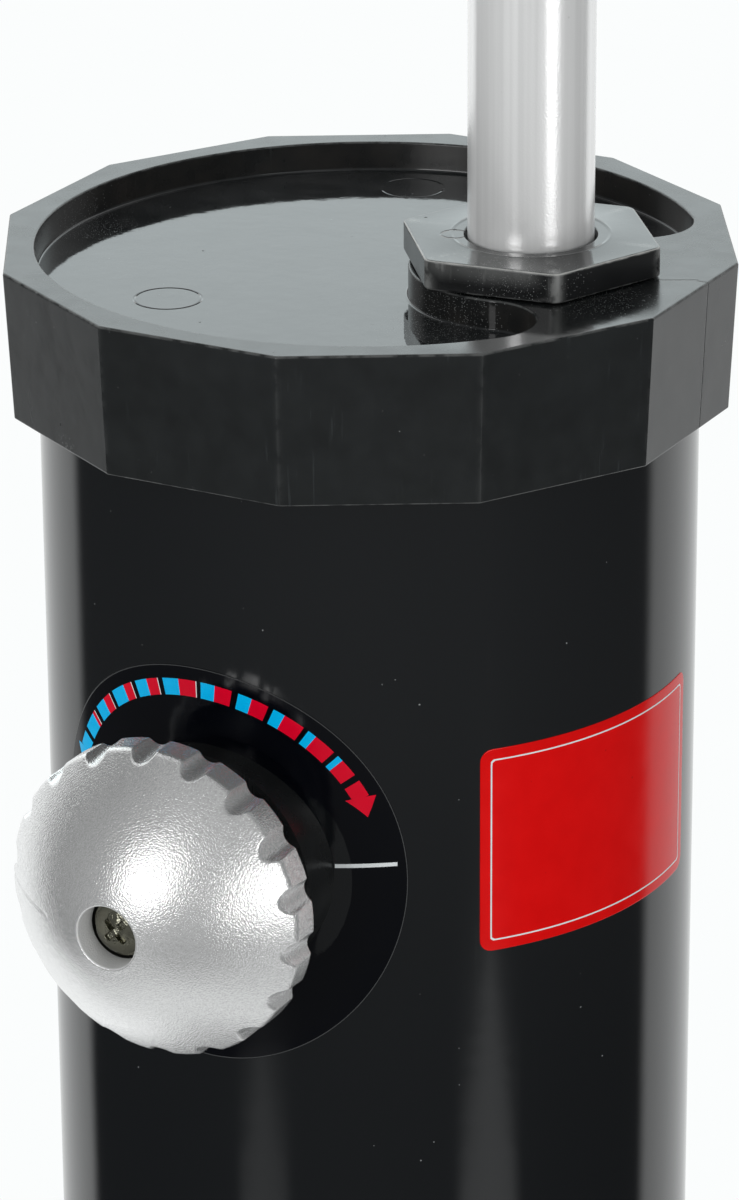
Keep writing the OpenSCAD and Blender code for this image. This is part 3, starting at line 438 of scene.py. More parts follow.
def black_moulding(name, colour, rough, marks=(), dusty=(), dull=(), worn_and_lit=(), lines=(), zones=()):
    """Black moulded plastic: uneven satin, upright scuffs, dull pits, fine dust that gathers near some places,
    pale edges and patches of wear that are also painted edge highlight and painted reflection, round mould marks,
    dull or polished patches, thin parting lines, and zones between two heights with a gloss and a film of their own."""
    material, shader, at = finish(name)
    x, y, z = split(at)
    fine = use(MOTTLE, at, Per_metre=150.0)
    uneven = times(calc("ADD", use(MOTTLE, at, Per_metre=55.0), fine), 0.5)
    smear = times_plus(fine, 0.6, times(use(MOTTLE, at, Per_metre=24.0), 0.6))
    scuffs = use(SCUFFS, at, Cover=0.46)
    pits = use(DUST, at, Per_metre=190.0, Share=0.08, Size=0.1)
    dust = use(DUST, at, Per_metre=640.0, Share=0.05, Size=0.11)
    for spot in dusty:
        share = times(near_point(at, *spot), 0.85)
        dust = calc("MAXIMUM", dust, use(DUST, at, Per_metre=2500.0, Share=share, Size=0.32))
    edge = add("ShaderNodeAttribute", tree=material.node_tree, attribute_name="worn_and_lit").outputs["Fac"]
    # Edges with a share near 1 turn brighter still: painted edge highlight as well as wear.
    strong_wear_and_highlight = times(between(edge, 0.65, 1.0), 0.9)
    wear = calc("MAXIMUM", use(EDGES_WORN_AND_LIT, at, Edge=edge), strong_wear_and_highlight)
    # Streaked wear patches; on the nut's front face the patch is also a painted reflection.
    for *spot, foot, top in worn_and_lit:
        patch = times(near_point(at, *spot), between(z, foot * MM, top * MM))
        streaks = use(SCUFFS, at, Stretch=(700.0, 700.0, 130.0), Cover=0.75)
        streaks = times_plus(streaks, 0.25, times_plus(uneven, 0.2, 0.2))
        wear = calc("MAXIMUM", wear, times(patch, streaks))
    tone = blend(uneven, shade(colour, 0.8), shade(colour, 1.6))
    tone = blend(scuffs, tone, shade(colour, 2.4))
    roughness = times_plus(scuffs, 0.1, times_plus(uneven, 0.1, rough))
    radius = vector("LENGTH", vector("MULTIPLY", at, IN_PLAN))
    for below, above, inside, gloss, film in zones:
        zone = times(within(z, below * MM, above * MM), calc("LESS_THAN", radius, inside * MM))
        tone = blend(times(zone, smear), tone, film)
        smooth = times_plus(smear, 0.4 * gloss, gloss)
        roughness = times_plus(zone, calc("SUBTRACT", smooth, roughness), roughness)
    # Wear, painted edge highlight and the nut's painted reflection all turn the tone pale grey here.
    tone = blend(wear, tone, blend(strong_wear_and_highlight, WEAR_AND_HIGHLIGHT_GREY, WEAR_AND_HIGHLIGHT_BRIGHT))
    roughness = times_plus(wear, 0.2, times_plus(pits, 0.5, roughness))
    for *spot, amount in dull:
        roughness = times_plus(near_point(at, *spot), amount, roughness)
    paint(shader, blend(dust, tone, DUST_GREY), times_plus(dust, 0.4, roughness, clamp=True))
    height = times(uneven, 0.2)
    for centre, mark_r in marks:
        height = times_plus(use(RING_MARK, at, Centre=centre, Radius=mark_r), -1.0, height)
    for x0, y0, x1, y1 in lines:
        slope = (y1 - y0) / (x1 - x0)
        away = calc("SUBTRACT", y, times_plus(x, slope, y0 - slope * x0))
        line = times(fine_line(away, PARTING_HALF), within(x, x0, x1))
        height = times_plus(line, -1.0, height)
    bump(shader, height, 0.35, 0.0004)
    return material


def tank_gloss():
    """Extruded black pipe: high gloss, faint die lines along its length, a few specks of dust."""
    material, shader, at = finish("Tank gloss")
    dust = use(DUST, at, Per_metre=420.0, Share=0.05, Size=0.09)
    lines = use(SCUFFS, at, Stretch=(500.0, 500.0, 3.0), Cover=0.5)
    paint(shader, blend(dust, (0.0034, 0.0043, 0.0054), (0.22, 0.23, 0.23)),
          times_plus(dust, 0.5, times_plus(lines, 0.05, 0.1)))
    bump(shader, use(MOTTLE, at, Per_metre=18.0), 0.06, 0.0006)
    return material


def knob_silver():
    """Silver paint over a pebbled grain: noise raises the grain, wear dulls it unevenly, and the screw's
    pocket is duller and less metallic, with painted shade making it near black at its foot."""
    material, shader, at = finish("Knob silver")
    grain = noise(at, 2400.0, 2.0)
    uneven = use(MOTTLE, at, Per_metre=55.0)
    dust = use(DUST, at, Per_metre=420.0, Share=0.06, Size=0.1)
    tone = blend(uneven, grey(0.95), grey(0.99))
    tone = blend(between(grain, 0.3, 0.6), grey(0.86), tone)
    tone = blend(dust, tone, grey(0.99))
    face_on = vector("MULTIPLY", at, (1.0, 0.0, 1.0))
    pocket = near_point(face_on, (0.0, 0.0, knob_z * MM), 0.00775, 0.008)
    tone = blend(pocket, tone, grey(0.72))
    # Painted shade: the lowest 1.2 mm of the pocket, round the screw's flange, is painted near black.
    painted_shade_foot = calc("GREATER_THAN", split(at)[1], -(pocket_floor + 1.2) * MM)
    paint(shader, blend(times(pocket, painted_shade_foot), tone, (0.01, 0.01, 0.008)),
          times_plus(pocket, 0.25, blend(uneven, 0.2, 0.26)))
    fill(shader, {"Metallic": times_plus(pocket, -0.6, 0.8)})
    bump(shader, grain, 0.5, 0.00025)
    return material


def riser_paint():
    """Silver paint on a drawn tube: soft streaks along it, a fine grain and a few specks."""
    material, shader, at = finish("Riser paint", Metallic=0.45)
    streaks = drawn_noise(at, (520.0, 520.0, 5.0), 4.0)
    specks = use(DUST, at, Per_metre=300.0, Share=0.05, Size=0.1)
    tone = blend(between(streaks, 0.3, 0.7), grey(0.9), grey(1.0))
    paint(shader, blend(specks, tone, grey(0.8)), times_plus(streaks, 0.16, 0.16))
    bump(shader, noise(at, 1900.0, 2.0), 0.2, 0.00015)
    return material


def drawn_metal(name, colour, rough, stretch, streak=0.12, dents=0.1, dent_depth=0.0002):
    """Drawn or rolled metal: streaks along the draw change its tone and gloss, and dent it a little."""
    material, shader, at = finish(name, Metallic=1.0)
    streaks = drawn_noise(at, stretch, 4.0)
    specks = use(DUST, at, Per_metre=230.0, Share=0.05, Size=0.09)
    tone = blend(streaks, shade(colour, 0.84), colour)
    paint(shader, blend(specks, tone, grey(0.9)), times_plus(streaks, streak, rough))
    bump(shader, streaks, dents, dent_depth)
    return material


def plain_plastic(name, colour, rough, metallic=0.0, per_metre=120.0, grain=0.15, shine=0.5):
    """Plain moulded or metallised plastic: tone, gloss and surface all a little uneven."""
    material, shader, at = finish(name, Metallic=metallic, Specular_IOR_Level=shine)
    uneven = use(MOTTLE, at, Per_metre=per_metre)
    paint(shader, blend(uneven, shade(colour, 0.88), colour), times_plus(uneven, 0.1, rough))
    bump(shader, uneven, grain, 0.0003)
    return material


def printed(name, colour, rough=0.16):
    """Printed ink: even colour with a faint mottle and a few pin holes."""
    material, shader, at = finish(name, Specular_IOR_Level=0.2)
    holes = use(DUST, at, Per_metre=420.0, Share=0.06, Size=0.12)
    uneven = use(MOTTLE, at, Per_metre=180.0)
    tone = blend(uneven, shade(colour, 0.93), colour)
    paint(shader, blend(holes, tone, shade(colour, 0.6)), times_plus(uneven, 0.06, rough))
    return material


RIM_FILM, ANY_RADIUS = (0.014, 0.015, 0.015), 200.0
cap_black = black_moulding(
    "Cap moulding", (0.0074, 0.0087, 0.0092), 0.18,
    marks=[((-0.031, -0.0425, 0.0), 0.008), ((-0.021, 0.062, 0.0), 0.008)],
    dusty=[((0.036, -0.031, 1.123), 0.006, 0.02), ((0.068, -0.016, 1.131), 0.004, 0.018),
           ((-0.0775, -0.002, 1.124), 0.004, 0.016), ((-0.041, -0.077, 1.0945), 0.001, 0.006)],
    dull=[((0.058, -0.033, 1.131), 0.022, 0.036, -0.16)],
    lines=[(0.084, 0.0063, 0.092, 0.0063), (0.0758, 0.0028, 0.0838, 0.007)],
    zones=[(rim_z - 7.9, rim_z - 6.9, 80.2, 0.045, (0.03, 0.031, 0.032)),
           (rim_z - 6.9, rim_z - 0.45, 80.4, 0.2, (0.024, 0.022, 0.02)),
           (rim_z - 0.15, rim_z + 1, ANY_RADIUS, 0.21, RIM_FILM)])
nut_black = black_moulding(
    "Nut moulding", (0.0085, 0.009, 0.0095), 0.17,
    marks=[((0.028, -0.009, 0.0), 0.0032)],
    dusty=[((0.056, -0.027, 1.134), 0.004, 0.02)],
    # Streaked patch on the nut's front face: scuffs, and a painted reflection that lightens the face.
    worn_and_lit=[((0.0445, -0.0285, 1.1355), 0.01, 0.017, rim_z + 2.2, rim_z + 7)],
    zones=[(rim_z + 7.3, rim_z + 9, ANY_RADIUS, 0.05, RIM_FILM)])
foot_black = black_moulding("Foot moulding", (0.0085, 0.0092, 0.0096), 0.22)
tank_black = tank_gloss()
silver = knob_silver()
riser_metal = riser_paint()
# Yellowish plating, its tone lowered to a dark bronze as painted shade that stands in for the dark surroundings the
# head reflects.
shaded_screw_metal = drawn_metal("Painted shade screw plating", (0.27, 0.265, 0.21), 0.04, (420.0, 420.0, 420.0), 0.06, 0.9, 0.0006)
clip_metal = drawn_metal("Clip band", (0.62, 0.62, 0.63), 0.25, (60.0, 60.0, 900.0))
brass = drawn_metal("Turned brass", (0.75, 0.6, 0.32), 0.2, (60.0, 900.0, 60.0))
head_silver = plain_plastic("Head plating", (0.66, 0.665, 0.67), 0.14, 1.0, 40.0, 0.04)
rubber = plain_plastic("Rubber", grey(0.022), 0.62, 0.0, 300.0, 0.3)
fitting = plain_plastic("Fitting plastic", (0.016, 0.016, 0.017), 0.36)
pipe_white = plain_plastic("Pipe plastic", (0.74, 0.74, 0.71), 0.4)
nozzle_grey = plain_plastic("Nozzle rubber", (0.13, 0.135, 0.14), 0.55, 0.0, 300.0, 0.2)
film = plain_plastic("Sticker film", (0.0008, 0.0012, 0.0028), 0.07, 0.0, 40.0, 0.03, 0.22)
# Grey of a painted highlight: the thin ring along the sticker film's edge.
painted_film_highlight = plain_plastic("Painted sticker edge highlight", (0.055, 0.057, 0.058), 0.3)
ink_blue = printed("Cold ink", (0.0, 0.47, 0.88))
ink_red = printed("Hot ink", (0.7, 0.0, 0.02))
ink_white = printed("White ink", (0.74, 0.77, 0.78))
label_red = printed("Label red", (0.7, 0.0, 0.0), 0.13)

NODE_FINISH = {
    "moulded_black": foot_black, "tank_black": tank_black, "rubber": rubber, "fitting_grey": fitting,
    "pipe_white": pipe_white, "disc_white": pipe_white, "clip_steel": clip_metal, "knob_silver": silver,
    "screw_chrome": shaded_screw_metal, "spindle_brass": brass, "riser_metal": riser_metal, "head_chrome": head_silver,
    "nozzle_rubber": nozzle_grey,
}
for part in frame["record"]["subparts"]:
    node = frame["nodes"][part["node"]]
    node.data.materials.clear()
    node.data.materials.append(NODE_FINISH[part["material_slot"]])


# Tank

TANK_WALL, TANK_EDGE = 4.0, 0.4


def tank_section():
    """Closed wall section of the pipe: outer face, inner face and two ends with broken edges."""
    inner = tank_r - TANK_WALL
    middle = (tank_foot + tank_top) / 2
    return rounded([(tank_r, middle), (tank_r, tank_top), (inner, tank_top), (inner, tank_foot),
                    (tank_r, tank_foot), (tank_r, middle)], [0, *[TANK_EDGE] * 4, 0], 3)


piece("tank_pipe", [(revolve(tank_section(), 320), True)], "tank", tank_black, ["tank_tube"])


# Top cap

CAP_SIDES, CAP_FLAT, CAP_MOUTH_FLAT, CAP_CORNER = 12, 86.85, 85.15, 0.9
CAP_HEIGHT, CAP_ROOF, CAP_PLAY, CORNER_SPREAD = 36.6, 13.0, 0.1, math.radians(0.34)
RECESS_R, RECESS_DEPTH, ISLAND_R, TIP_R = 80.05, 7.5, 29.0, 14.0
TIP_SPAN, BRIDGE_SPAN, APEX = math.radians(40.0), math.radians(12.0), math.radians(30.0)


def recess_outline(angles):
    """Outline of the recess and its outward direction, by one angle each: far from the riser it is the rim's
    circle, then a tip circle that touches both the rim and the island, then the island's own circle."""
    reach_rim, reach_island = RECESS_R - TIP_R, ISLAND_R + TIP_R
    x = (reach_rim ** 2 - reach_island ** 2 + riser_x ** 2) / (2 * riser_x)
    y = math.sqrt(reach_rim ** 2 - x ** 2)
    leave_rim, reach = math.atan2(y, x), math.atan2(-y, riser_x - x)
    middle = (leave_rim + reach) / 2
    t = np.abs(wrapped(angles, TAU))
    side = np.where(wrapped(angles, TAU) < 0, -1.0, 1.0)
    rim = np.maximum(t - TIP_SPAN, 0) / (math.pi - TIP_SPAN) * (math.pi - leave_rim) + leave_rim
    tip = np.interp(t, [BRIDGE_SPAN, APEX, TIP_SPAN], [reach, middle, leave_rim])
    land = np.interp(t, [0, BRIDGE_SPAN], [math.pi, reach + math.pi])
    where = [t >= TIP_SPAN, t >= BRIDGE_SPAN]
    turn, radius, cx, cy, way = (np.select(where, near, island) for *near, island in (
        (rim, tip, land), (RECESS_R, TIP_R, ISLAND_R), (0.0, x, riser_x), (0.0, y, 0.0), (1.0, 1.0, -1.0)))
    outward = np.stack([np.cos(turn), side * np.sin(turn)], -1)
    return np.stack([cx, side * cy], -1) + radius[:, None] * outward, way[:, None] * outward


def cap_grids():
    """Shell of the cap in one closed grid and a floor: the inside, the tapered flat sides (a polygon at each
    height), straight rules across the rim to the recess, the recess wall, and a floor ruled across."""
    half = 600
    angles = np.concatenate([corner_angles(half, CAP_SIDES, CORNER_SPREAD, *span)
                             for span in ((-APEX, APEX), (APEX, TAU - APEX))])
    bore, columns = tank_r + CAP_PLAY, len(angles)
    side = rounded([(bore, -CAP_ROOF), (bore, -CAP_HEIGHT), (CAP_MOUTH_FLAT, -CAP_HEIGHT), (CAP_FLAT, 0.0),
                    (CAP_FLAT - 2.0, 0.0)], [0, 0.2, 0.45, 0.55, 0], 5)[:-1]
    rows = [ring(0.0, -CAP_ROOF, angles)]
    rows += [ring(r if r < CAP_MOUTH_FLAT - 1.5 else flat_sided(angles, r, CAP_SIDES, CAP_CORNER), h, angles)
             for r, h in side]
    outline, outward = recess_outline(angles)
    wall = rounded([(1.6, 0.0), (0.0, 0.0), (0.0, -RECESS_DEPTH), (-2.0, -RECESS_DEPTH)], [0, 0.5, 0.7, 0], 6)[1:-1]
    edge = np.stack([np.concatenate([outline + outward * d, np.full((columns, 1), h)], 1) for d, h in wall])
    top, foot = rows[-1], edge[-1]
    rows += [top + (edge[0] - top) * k for k in (0.33, 0.67)]
    shell = np.concatenate([np.stack(rows), edge])
    v = np.linspace(0, 1, 9)[:, None, None]
    floor = foot[np.arange(half, 2 * half + 1) % (2 * half)] * (1 - v) + foot[np.arange(half, -1, -1)] * v
    # Wear share on the top and bottom outer edges; along the top edge its pale line is also a painted highlight.
    down = edge_share([0, 0, 0.3, 0.3, 0], 5)[:-1, None]
    upright = corner_share(angles, CAP_FLAT, CAP_SIDES, 0.5) * (np.abs(side[:, :1] - CAP_FLAT) < 2.0) * 0.05
    inner = np.broadcast_to(edge_share([0, 0.25, 0, 0], 6)[1:-1, None], (len(edge), columns))
    worn_and_lit = np.concatenate([np.zeros((1, columns)), np.maximum(down, upright), np.zeros((2, columns)), inner])
    lift = np.array([0, 0, rim_z])
    return [(shell + lift, True, worn_and_lit), (floor + lift, False)]


piece("cap_shell", cap_grids(), "tank", cap_black, ["top_cap"])


# Gland nut and riser

NUT_BORE, SHANK_R, SHANK_FOOT = 15.06, 22.0, -14.0
NUT_FOOT, NUT_TOP, NUT_FLAT, NUT_CORNER, NUT_TURN = 0.4, 7.6, 28.0, 3.0, math.radians(37.5)
RISER_BORE, RISER_FOOT, BEND_R, BEND_Z, RISER_END = 13.5, rim_z - 39.9, 100.0, 2061.0, 2031.0


def nut_grid():
    """Closed grid of the nut: bore, shank, hexagon with rounded corners and edges, and a low ring round the bore."""
    a = circle(432)
    side = rounded([(SHANK_R + 0.5, NUT_FOOT), (NUT_FLAT, NUT_FOOT), (NUT_FLAT, NUT_TOP), (20.5, NUT_TOP)],
                   [0, 0.5, 0.6, 0], 5)[1:-1]
    crown = rounded([(19.6, NUT_TOP), (18.9, NUT_TOP + 0.12), (18.2, NUT_TOP), (15.9, NUT_TOP), (15.2, NUT_TOP - 1.3),
                     (NUT_BORE, SHANK_FOOT)], [0, 0.5, 0.3, 0.3, 0.3, 0], 3)
    shank = rings([(NUT_BORE, SHANK_FOOT), (SHANK_R, SHANK_FOOT), (SHANK_R, NUT_FOOT)], a)
    hexagon = rings([(flat_sided(a, r, 6, NUT_CORNER, NUT_TURN), h) for r, h in side], a)
    rows = np.concatenate([shank, hexagon, rings(crown, a)])
    # Full share on the top edge, half on the bottom edge, up to 0.7 at the upright corners: wear, and on the top edge
    # also a painted bevel highlight.
    worn_and_lit = np.maximum(edge_share([0, 0.5, 1, 0], 5)[1:-1, None], 0.7 * corner_share(a, NUT_FLAT, 6, 1.3, NUT_TURN))
    worn_and_lit = np.concatenate([np.zeros((len(shank), len(a))), worn_and_lit, np.zeros((len(crown), len(a)))])
    return rows + np.array([riser_x, 0, rim_z]), True, worn_and_lit


piece("gland_hexagon", [nut_grid()], "tank", nut_black, ["gland_nut"])


def riser_grid():
    """Pipe carried along a straight, a half circle and a short straight: each section is a circle in the plane
    of the bend's radius and x. The outer face goes up the path and the inner face comes back."""
    turn = np.linspace(0, math.pi, 61)
    path = np.concatenate([[[0, h, 0] for h in (RISER_FOOT, RISER_FOOT + 1, rim_z, (rim_z + BEND_Z) / 2)],
                           np.stack([-BEND_R + BEND_R * np.cos(turn), BEND_Z + BEND_R * np.sin(turn), turn], -1),
                           [[-2 * BEND_R, h, math.pi] for h in (RISER_END + 1, RISER_END)]])
    a = circle(96)
    y, z, t = path[:, :1], path[:, 1:2], path[:, 2:]

    def skin(r):
        """Circles of one radius all along the path."""
        return np.stack([np.broadcast_to(riser_x + r * np.sin(a), (len(path), len(a))),
                         y + r * np.cos(a) * np.cos(t), z + r * np.cos(a) * np.sin(t)], -1)
    outer, inner = skin(RISER_R), skin(RISER_BORE)
    return np.concatenate([outer, inner[::-1], outer[:1]])


piece("riser_tube", [(riser_grid(), True)], "riser", riser_metal, ["riser_pipe"])


# Knob

KNOB_R, KNOB_SIDE, KNOB_DOME, POCKET_R, POCKET_DEPTH, POCKET_SHOULDER = 38.4, 7.6, 22.7, 7.7, 8.8, 11.0
SCOOPS, SCOOP_R, SCOOP_DEPTH, SCOOP_LEAN, SCOOP_FIRST = 18, 3.5, 1.35, math.radians(6.5), math.radians(12.6)
GROOVE_DEPTH, GROOVE_HALF, GROOVE_FROM = 0.34, 0.36, 18.5
FAR = 1e3
knob_top = pocket_floor + POCKET_DEPTH
knob_back = knob_top - KNOB_DOME - KNOB_SIDE


def dome_height(radius):
    """Height of the dome: a parabola from the top to the side's front edge."""
    return knob_top - KNOB_DOME * (radius / KNOB_R) ** 2


def least(x, y, soft):
    """The lesser of two values, with a rounded change from one to the other."""
    h = np.clip(0.5 + 0.5 * (y - x) / soft, 0, 1)
    return y + (x - y) * h - soft * h * (1 - h)


def knob_grid():
    """Rays from the middle of the knob's back meet the dome, its side or a scoop, whichever comes first. A soft
    minimum rounds the edges, and a thin dent along one ray line marks the setting."""
    a = circle(828)
    flat = np.zeros(len(a))
    polar = np.radians(np.concatenate([np.linspace(21.1, 60, 24, endpoint=False), np.linspace(60, 89.5, 58)]))
    sp, cp = np.sin(polar)[:, None], np.cos(polar)[:, None]
    bend = KNOB_DOME / KNOB_R ** 2
    rise = knob_top - knob_back
    dome = (np.sqrt(cp ** 2 + 4 * bend * sp ** 2 * rise) - cp) / (2 * bend * sp ** 2)
    body = least(dome, KNOB_R / sp, 0.8) + flat
    off = wrapped(a - SCOOP_FIRST, TAU / SCOOPS)
    ray = np.stack([sp * np.cos(off), sp * np.sin(off), cp + flat], -1)
    axis = np.array([-math.sin(SCOOP_LEAN), 0, math.cos(SCOOP_LEAN)])
    start = np.array([KNOB_R - SCOOP_DEPTH + SCOOP_R / math.cos(SCOOP_LEAN), 0, 0])
    ray_off = ray - (ray @ axis)[..., None] * axis
    start_off = start - (start @ axis) * axis
    square, along = (ray_off ** 2).sum(-1), ray_off @ start_off
    inside = along ** 2 - square * (start_off @ start_off - SCOOP_R ** 2)
    scoop = np.where(inside > 0, (along - np.sqrt(np.maximum(inside, 0))) / square, FAR)
    reach = least(body, np.minimum(scoop, body + 9), 0.5)
    radius = reach * sp
    across = radius * np.sin(a - math.pi) + FAR * (np.cos(a - math.pi) < 0)
    groove = np.exp(-(across / GROOVE_HALF) ** 2) * np.clip((radius - GROOVE_FROM) / 2, 0, 1)
    reach = reach - GROOVE_DEPTH * groove
    radius, out = reach * sp, knob_back + reach * cp
    shell = np.stack([radius * np.cos(a), radius * np.sin(a), out], -1)
    pocket = rounded([(0, pocket_floor), (POCKET_R, pocket_floor), (POCKET_R, dome_height(POCKET_R)),
                      (POCKET_SHOULDER, dome_height(POCKET_SHOULDER))], [0, 0.4, 0.45, 0], 5)[:-1]
    lip = [(radius[-1] - d, knob_back + h) for d, h in ((0.02, 0.2), (0.1, 0.05), (0.3, 0), (1.2, 0))]
    inner = KNOB_R - 5.5
    hollow = [(inner, 0), (inner, 5), (20, 15.5), (10.2, 17), (9, 16), (9, -1.6), (0, -1.6)]
    hollow = [(r, knob_back + h) for r, h in hollow]
    return along_front(np.concatenate([rings(pocket, a), shell, rings(lip + hollow, a)]))


piece("knob_dome", [(knob_grid(), True)], "knob", silver, ["knob"])

SCREW_R, SCREW_TOP, SCREW_CROWN, FLANGE_R, FLANGE_TOP, SHAFT_R, SHAFT_END = 6.2, 4.2, 1.9, 7.2, 0.9, 2.0, -14.0
SLOT_HALF, SLOT_REACH, SLOT_DEPTH, SLOT_RISE = 0.85, 3.5, 2.4, 0.42


def screw_grid():
    """Pan head on a flange: a crowned disc by radius, lowered in a cross of two slots that shallow toward
    their ends, then the head's edge, the flange and the shank."""
    a = circle(216)
    r = np.concatenate([np.linspace(0, 3.9, 46), np.linspace(4.1, 5.7, 7)])[:, None]
    x, y = np.abs(r * np.cos(a - math.pi / 4)), np.abs(r * np.sin(a - math.pi / 4))
    long, short = np.maximum(x, y), np.minimum(x, y)
    in_slot = np.clip((SLOT_HALF - short) / 0.16, 0, 1) * np.clip((SLOT_REACH - long) / 0.25, 0, 1)
    z = SCREW_TOP - SCREW_CROWN * (r / SCREW_R) ** 2 - in_slot * (SLOT_DEPTH - SLOT_RISE * long)
    face = np.stack([r * np.cos(a), r * np.sin(a), z + np.zeros(len(a))], -1)
    rim = rounded([(5.7, 2.6), (SCREW_R, 2.2), (SCREW_R, FLANGE_TOP), (FLANGE_R, FLANGE_TOP), (FLANGE_R, 0.0),
                   (SHAFT_R, 0.0), (SHAFT_R, SHAFT_END), (0.0, SHAFT_END)],
                  [0, 0.5, 0.2, 0.25, 0.1, 0.1, 0.2, 0], 5)[1:]
    return along_front(np.concatenate([face, rings(rim, a)]) + np.array([0, 0, pocket_floor]))


piece("pan_screw", [(screw_grid(), True)], "knob", shaded_screw_metal, ["knob_screw"])


# Dial sticker on the tank

DIAL_X, DIAL_Z, DIAL_R = -1.9, knob_z - 1.25, 50.2
FILM_PROUD, HIGHLIGHT_RING_PROUD, INK_PROUD, SLIVER_PROUD = 0.1, 0.112, 0.13, 0.14
BAND = np.linspace(42.6, 46.7, 3)
SEGMENT_FROM = [36.0, 45.1, 56.3, 68.1, 79.8, 91.4, 105.5, 117.1, 129.2, 140.6]
SEGMENT_CHANGE = [41.6, 52.0, 62.8, 73.4, 85.3, 97.8, 110.3, 121.2, 133.4, 142.4]
SEGMENT_TO = [43.5, 54.7, 66.4, 77.7, 90.0, 103.7, 115.3, 127.5, 138.7, 149.0]
ARROW_TIP, INNER_BARB, OUTER_BARB = np.array([[44.0, 22.3], [41.1, 30.4], [48.2, 27.7]])
ARROW_TAIL = (28.6, 33.9)
DIAL_MIDDLE = 92.4
TICK_FROM, TICK_TO, TICK_HALF, TICK_UP, TICK_SLOPE = 31.0, 45.7, 0.5, 3.0, 0.037


def dial(radius, degrees, proud):
    """A place on the dial, by radius and angle from three o'clock, wrapped onto the tank."""
    a = np.radians(degrees)
    return on_tank(DIAL_X + radius * np.cos(a), DIAL_Z + radius * np.sin(a), proud)


def print_band(first, last, proud=INK_PROUD):
    """A stretch of the arc: radius by angle."""
    return dial(*crossed(BAND, np.linspace(first, last, 9)), proud), False


def print_arrow(mirror):
    """Arrow at the arc's end: a head that widens from its tip to two barbs, and a short tail."""
    v, u = np.linspace(0, 1, 9)[:, None, None], np.linspace(0, 1, 7)[:, None]
    inner, outer = ARROW_TIP + (INNER_BARB - ARROW_TIP) * v, ARROW_TIP + (OUTER_BARB - ARROW_TIP) * v
    head = np.moveaxis(inner * (1 - u) + outer * u, -1, 0)
    tail = crossed(BAND, np.linspace(*ARROW_TAIL, 5))
    return [(dial(r, 2 * DIAL_MIDDLE - d if mirror else d, INK_PROUD), False) for r, d in (head, tail)]


def dial_rings(steps):
    """Closed rings of the dial, each by its radius and its height above the tank."""
    a = np.linspace(0, 360, 288, endpoint=False)
    return [(np.stack([dial(np.full(a.shape, r), a, proud) for r, proud in steps]), True)]


film_steps = [(DIAL_R, -0.02), (DIAL_R, 0.07), (DIAL_R - 0.05, 0.095), (DIAL_R - 0.2, FILM_PROUD)]
film_steps += [(r, FILM_PROUD) for r in (46, 39, 29)]
# Thin grey ring just inside the film's rim: a painted highlight where the film's edge catches the light.
film_highlight_ring = [(DIAL_R - inset, HIGHLIGHT_RING_PROUD) for inset in (0.32, 0.12)]
cold = [print_band(*s) for s in zip(SEGMENT_CHANGE, SEGMENT_TO)] + print_arrow(True)
hot = [print_band(*s) for s in zip(SEGMENT_FROM, SEGMENT_CHANGE)] + print_arrow(False)
across, up = crossed(np.linspace(TICK_FROM, TICK_TO, 12), np.linspace(-TICK_HALF, TICK_HALF, 2))
tick = on_tank(across, knob_z + TICK_UP + TICK_SLOPE * (across - KNOB_R) + up, INK_PROUD)
slivers = [print_band(d, d + 0.32, SLIVER_PROUD) for d in SEGMENT_FROM[5:]]
stickers = [("dial_film", dial_rings(film_steps), film),
            ("dial_film_painted_highlight", dial_rings(film_highlight_ring), painted_film_highlight), ("dial_cold_marks", cold, ink_blue),
            ("dial_hot_marks", hot, ink_red), ("dial_tick", [(tick, False)] + slivers, ink_white)]


# Label on the tank

LABEL_ACROSS, LABEL_Z = tank_r * math.radians(73.25), rim_z - 127.5
LABEL_HALF_W, LABEL_HALF_H, LABEL_CORNER, LEAST_CORNER = 36.65, 26.0, 3.0, 0.8
LABEL_PROUD, KEYLINE_PROUD, KEYLINE_INSETS, LABEL_COLUMNS = 0.135, 0.155, (2.6, 2.98), 240


def label_outline(inset):
    """Rounded rectangle about the label's middle, by equal steps of arc length."""
    w, h, r = LABEL_HALF_W - inset, LABEL_HALF_H - inset, max(LABEL_CORNER - inset, LEAST_CORNER)
    line = rounded([(w, 0), (w, h), (-w, h), (-w, -h), (w, -h), (w, 0)], [0, r, r, r, r, 0], 8)
    run = np.concatenate([[0], np.cumsum(np.linalg.norm(np.diff(line, axis=0), axis=1))])
    t = np.linspace(0, run[-1], LABEL_COLUMNS, endpoint=False)
    return np.stack([np.interp(t, run, line[:, 0]), np.interp(t, run, line[:, 1])], -1)


def label_rows(steps):
    """Rows of the label wrapped onto the tank: each step is an outline, a share of the way out, and a height."""
    return np.stack([on_tank(LABEL_ACROSS + q[:, 0] * k, LABEL_Z + q[:, 1] * k, t) for q, k, t in steps])


plate = [(label_outline(inset), 1, proud) for inset, proud in ((0.0, -0.02), (0.0, 0.1), (0.06, 0.13))]
plate += [(label_outline(0.3), k, LABEL_PROUD) for k in np.linspace(1, 0, 14)]
keyline = [(label_outline(inset), 1, KEYLINE_PROUD) for inset in KEYLINE_INSETS]
stickers += [("label_plate", [(label_rows(plate), True)], label_red),
             ("label_keyline", [(label_rows(keyline), True)], ink_white)]
for name, grids, ink in stickers:
    piece(name, grids, "tank", ink, facing=(0, 0, knob_z * MM))


# Shower head, with heights from the middle of the ball

HEAD_NECK_R, HEAD_MOUTH, HEAD_R, HEAD_FACE, DOME_R, DOME_TOP = 15.5, 0.9, 75.0, -44.4, 150.625, -13.4
COLLAR_R, COLLAR_FOOT, COLLAR_TOP, COLLAR_BORE = 18.4, -10.0, 10.5, 15.6
STUD_BORE, STUD_FOOT, STUD_NECK, STUD_TOP, STUD_PLUG = 3.0, -10.6, 5.0, 31.5, 13.4


